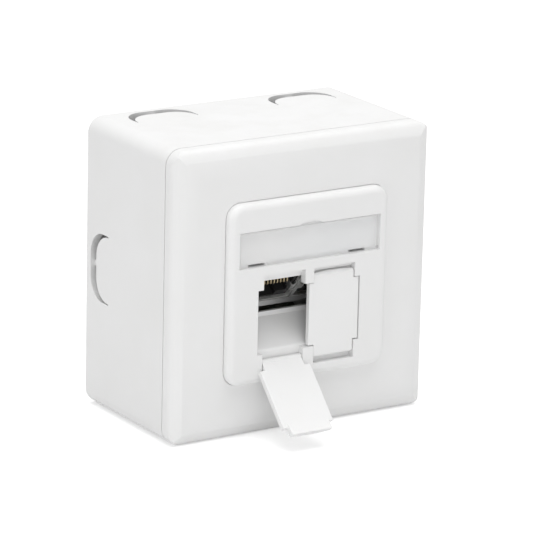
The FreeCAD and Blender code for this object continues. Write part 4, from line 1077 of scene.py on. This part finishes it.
@dataclass
class Jacks:
    """The two angled jacks with their contact wires."""

    tilt_deg: float = 45.0
    face: tuple[float, float] = (-42.34, -1.66)
    edge_radius: float = 0.1 * MM
    lip_set_back: float = 1.05
    lip_above: float = 4.4
    wall_shift: float = 0.27
    inner_wall_within: float = 1.25
    wire_count: int = 8
    wire_pitch: float = 1.016
    wire_radius: float = 0.2
    bend_radius: float = 0.3
    wire_path: tuple[tuple[float, float], ...] = (
        (13.6, -5.4), (13.6, 4.4), (1.2, 4.4), (0.35, 3.55), (1.0, 2.9), (9.0, 1.3))

    def place(self, x: float, inward: float, upward: float) -> Point:
        """Gives the place of a point of a jack's own tilted frame.

        Args:
            x: Its X, in millimetres.
            inward: Its way into the port, in millimetres.
            upward: Its way up across the port, in millimetres.

        Returns:
            Its place, in millimetres.
        """
        slope = math.radians(self.tilt_deg)
        y = self.face[0] + inward * math.cos(slope) - upward * math.sin(slope)
        z = self.face[1] + inward * math.sin(slope) + upward * math.cos(slope)
        return (x, y, z)

    def ease_shield(self, point: Vector) -> Vector:
        """Sets the shield's upper lip back and brings its inner wall to its neighbour.

        Args:
            point: A point of the shield, in metres.

        Returns:
            Its new place.
        """
        slope = math.radians(self.tilt_deg)
        y = point.y / MM - self.face[0]
        z = point.z / MM - self.face[1]
        inward = y * math.cos(slope) + z * math.sin(slope)
        upward = z * math.cos(slope) - y * math.sin(slope)
        if upward > self.lip_above and inward < self.lip_set_back:
            inward = self.lip_set_back
        x = point.x / MM
        if abs(x) < self.inner_wall_within:
            x -= math.copysign(self.wall_shift, x)
        return Vector(self.place(x, inward, upward)) * MM

    def build(self) -> None:
        """Makes the shields, bodies and contact wires."""
        tree = wire_tree()
        for side, middle in JACK_MIDDLES.items():
            shield = rounded_copy(f"jack_shield_{side}", f"shield_{side}_shell", self.edge_radius / 2,
                                  reshape=self.ease_shield)
            stand_for(shield, f"jack_shield_{side}", "housing", Finish.TIN)
            body = rounded_copy(f"jack_body_{side}", f"jack_{side}_moulding", self.edge_radius)
            stand_for(body, f"jack_body_{side}", "housing", Finish.BLACK)
            first = middle - (self.wire_count - 1) / 2 * self.wire_pitch
            steps = [self.place(first, *step) for step in self.wire_path]
            line = points_mesh("wire_line", steps, joined=True)
            wires = tree.make(f"contact_wires_{side}", line, Finish.SHADED_GOLD, Count=self.wire_count,
                              Pitch=self.wire_pitch * MM, Bend_Radius=self.bend_radius * MM,
                              Wire_Radius=self.wire_radius * MM)
            stand_for(wires, f"jack_contacts_{side}", "housing", Finish.SHADED_GOLD)


@dataclass
class Terminals:
    """Forked blades that take the wires of the incoming cables."""

    columns: int = 4
    rows: int = 2
    pitch: float = 2.8
    row_step: float = 7.0
    middle_in: float = 18.0
    foot: float = -10.2
    blade: tuple[float, float, float] = (0.4, 3.0, 6.6)
    corner: float = 0.4
    mouth: tuple[float, float] = (0.5, 4.5)
    mouth_flare: float = 0.35

    def blade_mesh(self) -> Mesh:
        """Makes one forked blade, its mouth downwards and its foot at the origin.

        Returns:
            The blade's mesh.
        """
        thick, length, height = self.blade
        gap, depth = self.mouth
        half, inner = length / 2, gap / 2
        right = [(half, 0), (half, self.corner - height), (half - self.corner, -height),
                 (inner + self.mouth_flare, -height), (inner, self.mouth_flare - height + self.corner),
                 (inner, depth - height)]
        outline = right + [(-y, z) for y, z in reversed(right)]
        shape = bmesh.new()
        corners = [shape.verts.new((-thick / 2 * MM, y * MM, z * MM)) for y, z in outline]
        face = shape.faces.new(corners)
        pulled = bmesh.ops.extrude_face_region(shape, geom=[face])
        moved = [item for item in pulled["geom"] if isinstance(item, bmesh.types.BMVert)]
        bmesh.ops.translate(shape, vec=(thick * MM, 0.0, 0.0), verts=moved)
        bmesh.ops.recalc_face_normals(shape, faces=shape.faces)
        mesh = bpy.data.meshes.new("blade")
        shape.to_mesh(mesh)
        shape.free()
        return mesh

    def build(self, jacks: Jacks) -> None:
        """Sets the blades of both blocks.

        Args:
            jacks: The jacks, which give the tilt of the blocks.
        """
        tree = grid_tree()
        for side, middle in JACK_MIDDLES.items():
            foot = Vector(jacks.place(middle, self.middle_in, self.foot)) * MM
            blades = tree.make(f"terminal_blades_{side}", self.blade_mesh(), Finish.TIN, Columns=self.columns,
                               Rows=self.rows, Width=self.pitch * (self.columns - 1) * MM,
                               Length=self.row_step * (self.rows - 1) * MM, Tilt=math.radians(jacks.tilt_deg),
                               Place=foot)
            stand_for(blades, f"terminal_contacts_{side}", "housing", Finish.TIN)


@dataclass(frozen=True)
class ScrewSet:
    """Sizes and seats of screws of one kind, in millimetres."""

    node: str
    seats: tuple[Point, ...]
    head_half: float
    radius: float
    length: float
    tilt_deg: float = 0.0


@dataclass
class Screws:
    """The hexagon screws inside the box."""

    head_rise: float = 1.3
    thread: float = 0.16
    turn_length: float = 0.7
    sets: tuple[ScrewSet, ...] = (
        ScrewSet("support_screws", ((-30.0, -42.3, 0.0), (30.0, -42.3, 0.0)), 2.75, 1.2, 14.0),
        ScrewSet("carrier_screws", ((-21.0, -42.3, 10.5), (21.0, -42.3, 10.5)), 1.9, 1.0, 3.1),
        ScrewSet("clamp_screws", ((-6.8, -28.056, -13.115), (6.8, -28.056, -13.115)), 2.0, 1.1, 4.6, -45.0),
    )

    def build(self) -> None:
        """Makes each set of screws in the place of its solids."""
        tree = screw_tree()
        for screws in self.sets:
            seats = points_mesh("seats", list(screws.seats))
            piece = tree.make(f"{screws.node}_threaded", seats, Finish.ZINC,
                              Head_Half=screws.head_half * MM, Head_Rise=self.head_rise * MM,
                              Core=(screws.radius - self.thread) * MM, Thread=self.thread * MM,
                              Length=screws.length * MM,
                              Turns=screws.length * THREADED_PART / self.turn_length,
                              Tilt=math.radians(screws.tilt_deg))
            stand_for(piece, screws.node, "housing", Finish.ZINC)


@dataclass
class Inside:
    """Everything that the closed box hides."""

    finishes: dict[str, Finish] = field(default_factory=lambda: {
        "plate_screw": Finish.ZINC,
        "support_plate": Finish.ZINC,
        "jack_carrier": Finish.CASTING,
        "circuit_board": Finish.BOARD,
        "rear_shield": Finish.TIN,
        "clamp_bar": Finish.ZINC,
        "earth_tab": Finish.TIN,
        "terminal_block_left": Finish.TERMINAL,
        "terminal_block_right": Finish.TERMINAL,
    })

    def dress(self) -> None:
        """Gives each inner solid its finish."""
        for node, finish in self.finishes.items():
            paint_node(node, finish)


# ---------------------------------------------------------------------- studio
@dataclass(frozen=True)
class LampSetting:
    """Where a square lamp stands, the length of its side and its power."""

    place: Point
    side: float
    power: float


class Lamp(Enum):
    """The lamps round the box."""

    TOP = LampSetting((0.0, -0.15, 1.2), 1.2, 12.0)
    FRONT = LampSetting((0.5, -1.4, 0.5), 1.2, 0.3)
    LEFT = LampSetting((-1.3, -0.3, 0.4), 1.0, 2.75)
    LOW = LampSetting((-0.35, -1.0, 0.06), 0.7, 2.5)


@dataclass
class Studio:
    """Pale floor, soft light and the camera."""

    azimuth_deg: float = -32.58
    elevation_deg: float = 16.05
    roll_deg: float = 1.345
    distance: float = 1.0275
    aim: Point = (0.0, -0.025, 0.0)
    aside: float = 2.18 * MM
    raised: float = -1.42 * MM
    lens: float = 254.43
    floor_side: float = 12.0
    floor_gap: float = 0.02 * MM
    floor_glow: float = 0.42
    ambient: float = 0.4

    def build(self) -> None:
        """Makes the floor, the world, the lamps and the camera."""
        self.make_floor()
        self.make_world()
        self.make_lamps()
        self.make_camera()
        bpy.context.scene.view_settings.view_transform = "Standard"

    def make_floor(self) -> None:
        """Lays a white floor under the box that keeps its shadow."""
        level = SOLID_BOX[0][2] - self.floor_gap
        mesh = bpy.data.meshes.new("floor")
        half = self.floor_side / 2
        corners = [(-half, -half, level), (half, -half, level), (half, half, level), (-half, half, level)]
        mesh.from_pydata(corners, [], [(0, 1, 2, 3)])
        floor = bpy.data.objects.new("floor", mesh)
        bpy.context.scene.collection.objects.link(floor)
        surface = Surface("floor_white")
        mottle = surface.noise(surface.place, 0.4, 2.0)
        surface.feed("Base Color", surface.blend(mottle, (0.86, 0.86, 0.86), (0.84, 0.84, 0.84)))
        surface.put(surface.shader, Roughness=0.9, Specular_IOR_Level=0.1)
        glow = surface.put(surface.add("ShaderNodeEmission"), Strength=self.floor_glow)
        both = surface.add("ShaderNodeAddShader")
        surface.join(surface.shader.outputs["BSDF"], both.inputs[0])
        surface.join(glow.outputs["Emission"], both.inputs[1])
        mix = surface.add("ShaderNodeMixShader")
        surface.join(surface.seen_directly(), mix.inputs[0])
        surface.join(surface.shader.outputs["BSDF"], mix.inputs[1])
        surface.join(both.outputs[0], mix.inputs[2])
        surface.join(mix.outputs[0], surface.out.inputs["Surface"])
        floor.data.materials.append(surface.material)

    def make_world(self) -> None:
        """Makes an even pale world that is pure white to the camera."""
        world = bpy.data.worlds.new("studio")
        world.use_nodes = True
        graph = Graph(world.node_tree)
        white = (1.0, 1.0, 1.0, 1.0)
        seen_white = graph.put(graph.add("ShaderNodeBackground"), Strength=1.0, Color=white)
        fill = graph.put(graph.add("ShaderNodeBackground"), Strength=self.ambient, Color=white)
        mix = graph.add("ShaderNodeMixShader")
        graph.join(graph.seen_directly(), mix.inputs[0])
        graph.join(fill.outputs[0], mix.inputs[1])
        graph.join(seen_white.outputs[0], mix.inputs[2])
        out = graph.add("ShaderNodeOutputWorld")
        graph.join(mix.outputs[0], out.inputs["Surface"])
        bpy.context.scene.world = world

    def make_lamps(self) -> None:
        """Hangs the large soft lamps round the box."""
        for lamp in Lamp:
            data = bpy.data.lights.new(f"{lamp.name.lower()}_lamp", "AREA")
            data.shape = "SQUARE"
            data.size = lamp.value.side
            data.energy = lamp.value.power
            light = bpy.data.objects.new(data.name, data)
            light.location = lamp.value.place
            aim = Vector(self.aim) - Vector(lamp.value.place)
            light.rotation_mode = "QUATERNION"
            light.rotation_quaternion = aim.to_track_quat("-Z", "Y")
            bpy.context.scene.collection.objects.link(light)

    def make_camera(self) -> None:
        """Stands a long-lens camera before the box, up and to its left."""
        azimuth = math.radians(self.azimuth_deg)
        elevation = math.radians(self.elevation_deg)
        roll = math.radians(self.roll_deg)
        back = Vector((math.sin(azimuth) * math.cos(elevation), -math.cos(azimuth) * math.cos(elevation),
                       math.sin(elevation)))
        level_right = (-back).cross(Vector((0, 0, 1))).normalized()
        level_up = level_right.cross(-back)
        right = level_right * math.cos(roll) + level_up * math.sin(roll)
        up = level_up * math.cos(roll) - level_right * math.sin(roll)
        turn = Matrix((right, up, back)).transposed()
        data = bpy.data.cameras.new("camera")
        data.sensor_width = 36.0
        data.lens = self.lens
        data.clip_start = 0.05
        data.clip_end = 50.0
        camera = bpy.data.objects.new("camera", data)
        camera.rotation_mode = "QUATERNION"
        camera.rotation_quaternion = turn.to_quaternion()
        camera.location = Vector(self.aim) + back * self.distance + right * self.aside + up * self.raised
        bpy.context.scene.collection.objects.link(camera)
        bpy.context.scene.camera = camera


def main() -> None:
    """Dresses the box and sets it in the studio."""
    logging.basicConfig(level=logging.INFO, format="%(message)s")
    Housing().build()
    LabelHolder().build()
    DustFlaps().build()
    jacks = Jacks()
    jacks.build()
    Terminals().build(jacks)
    Screws().build()
    Inside().dress()
    Studio().build()


if __name__ == "__main__":
    main()
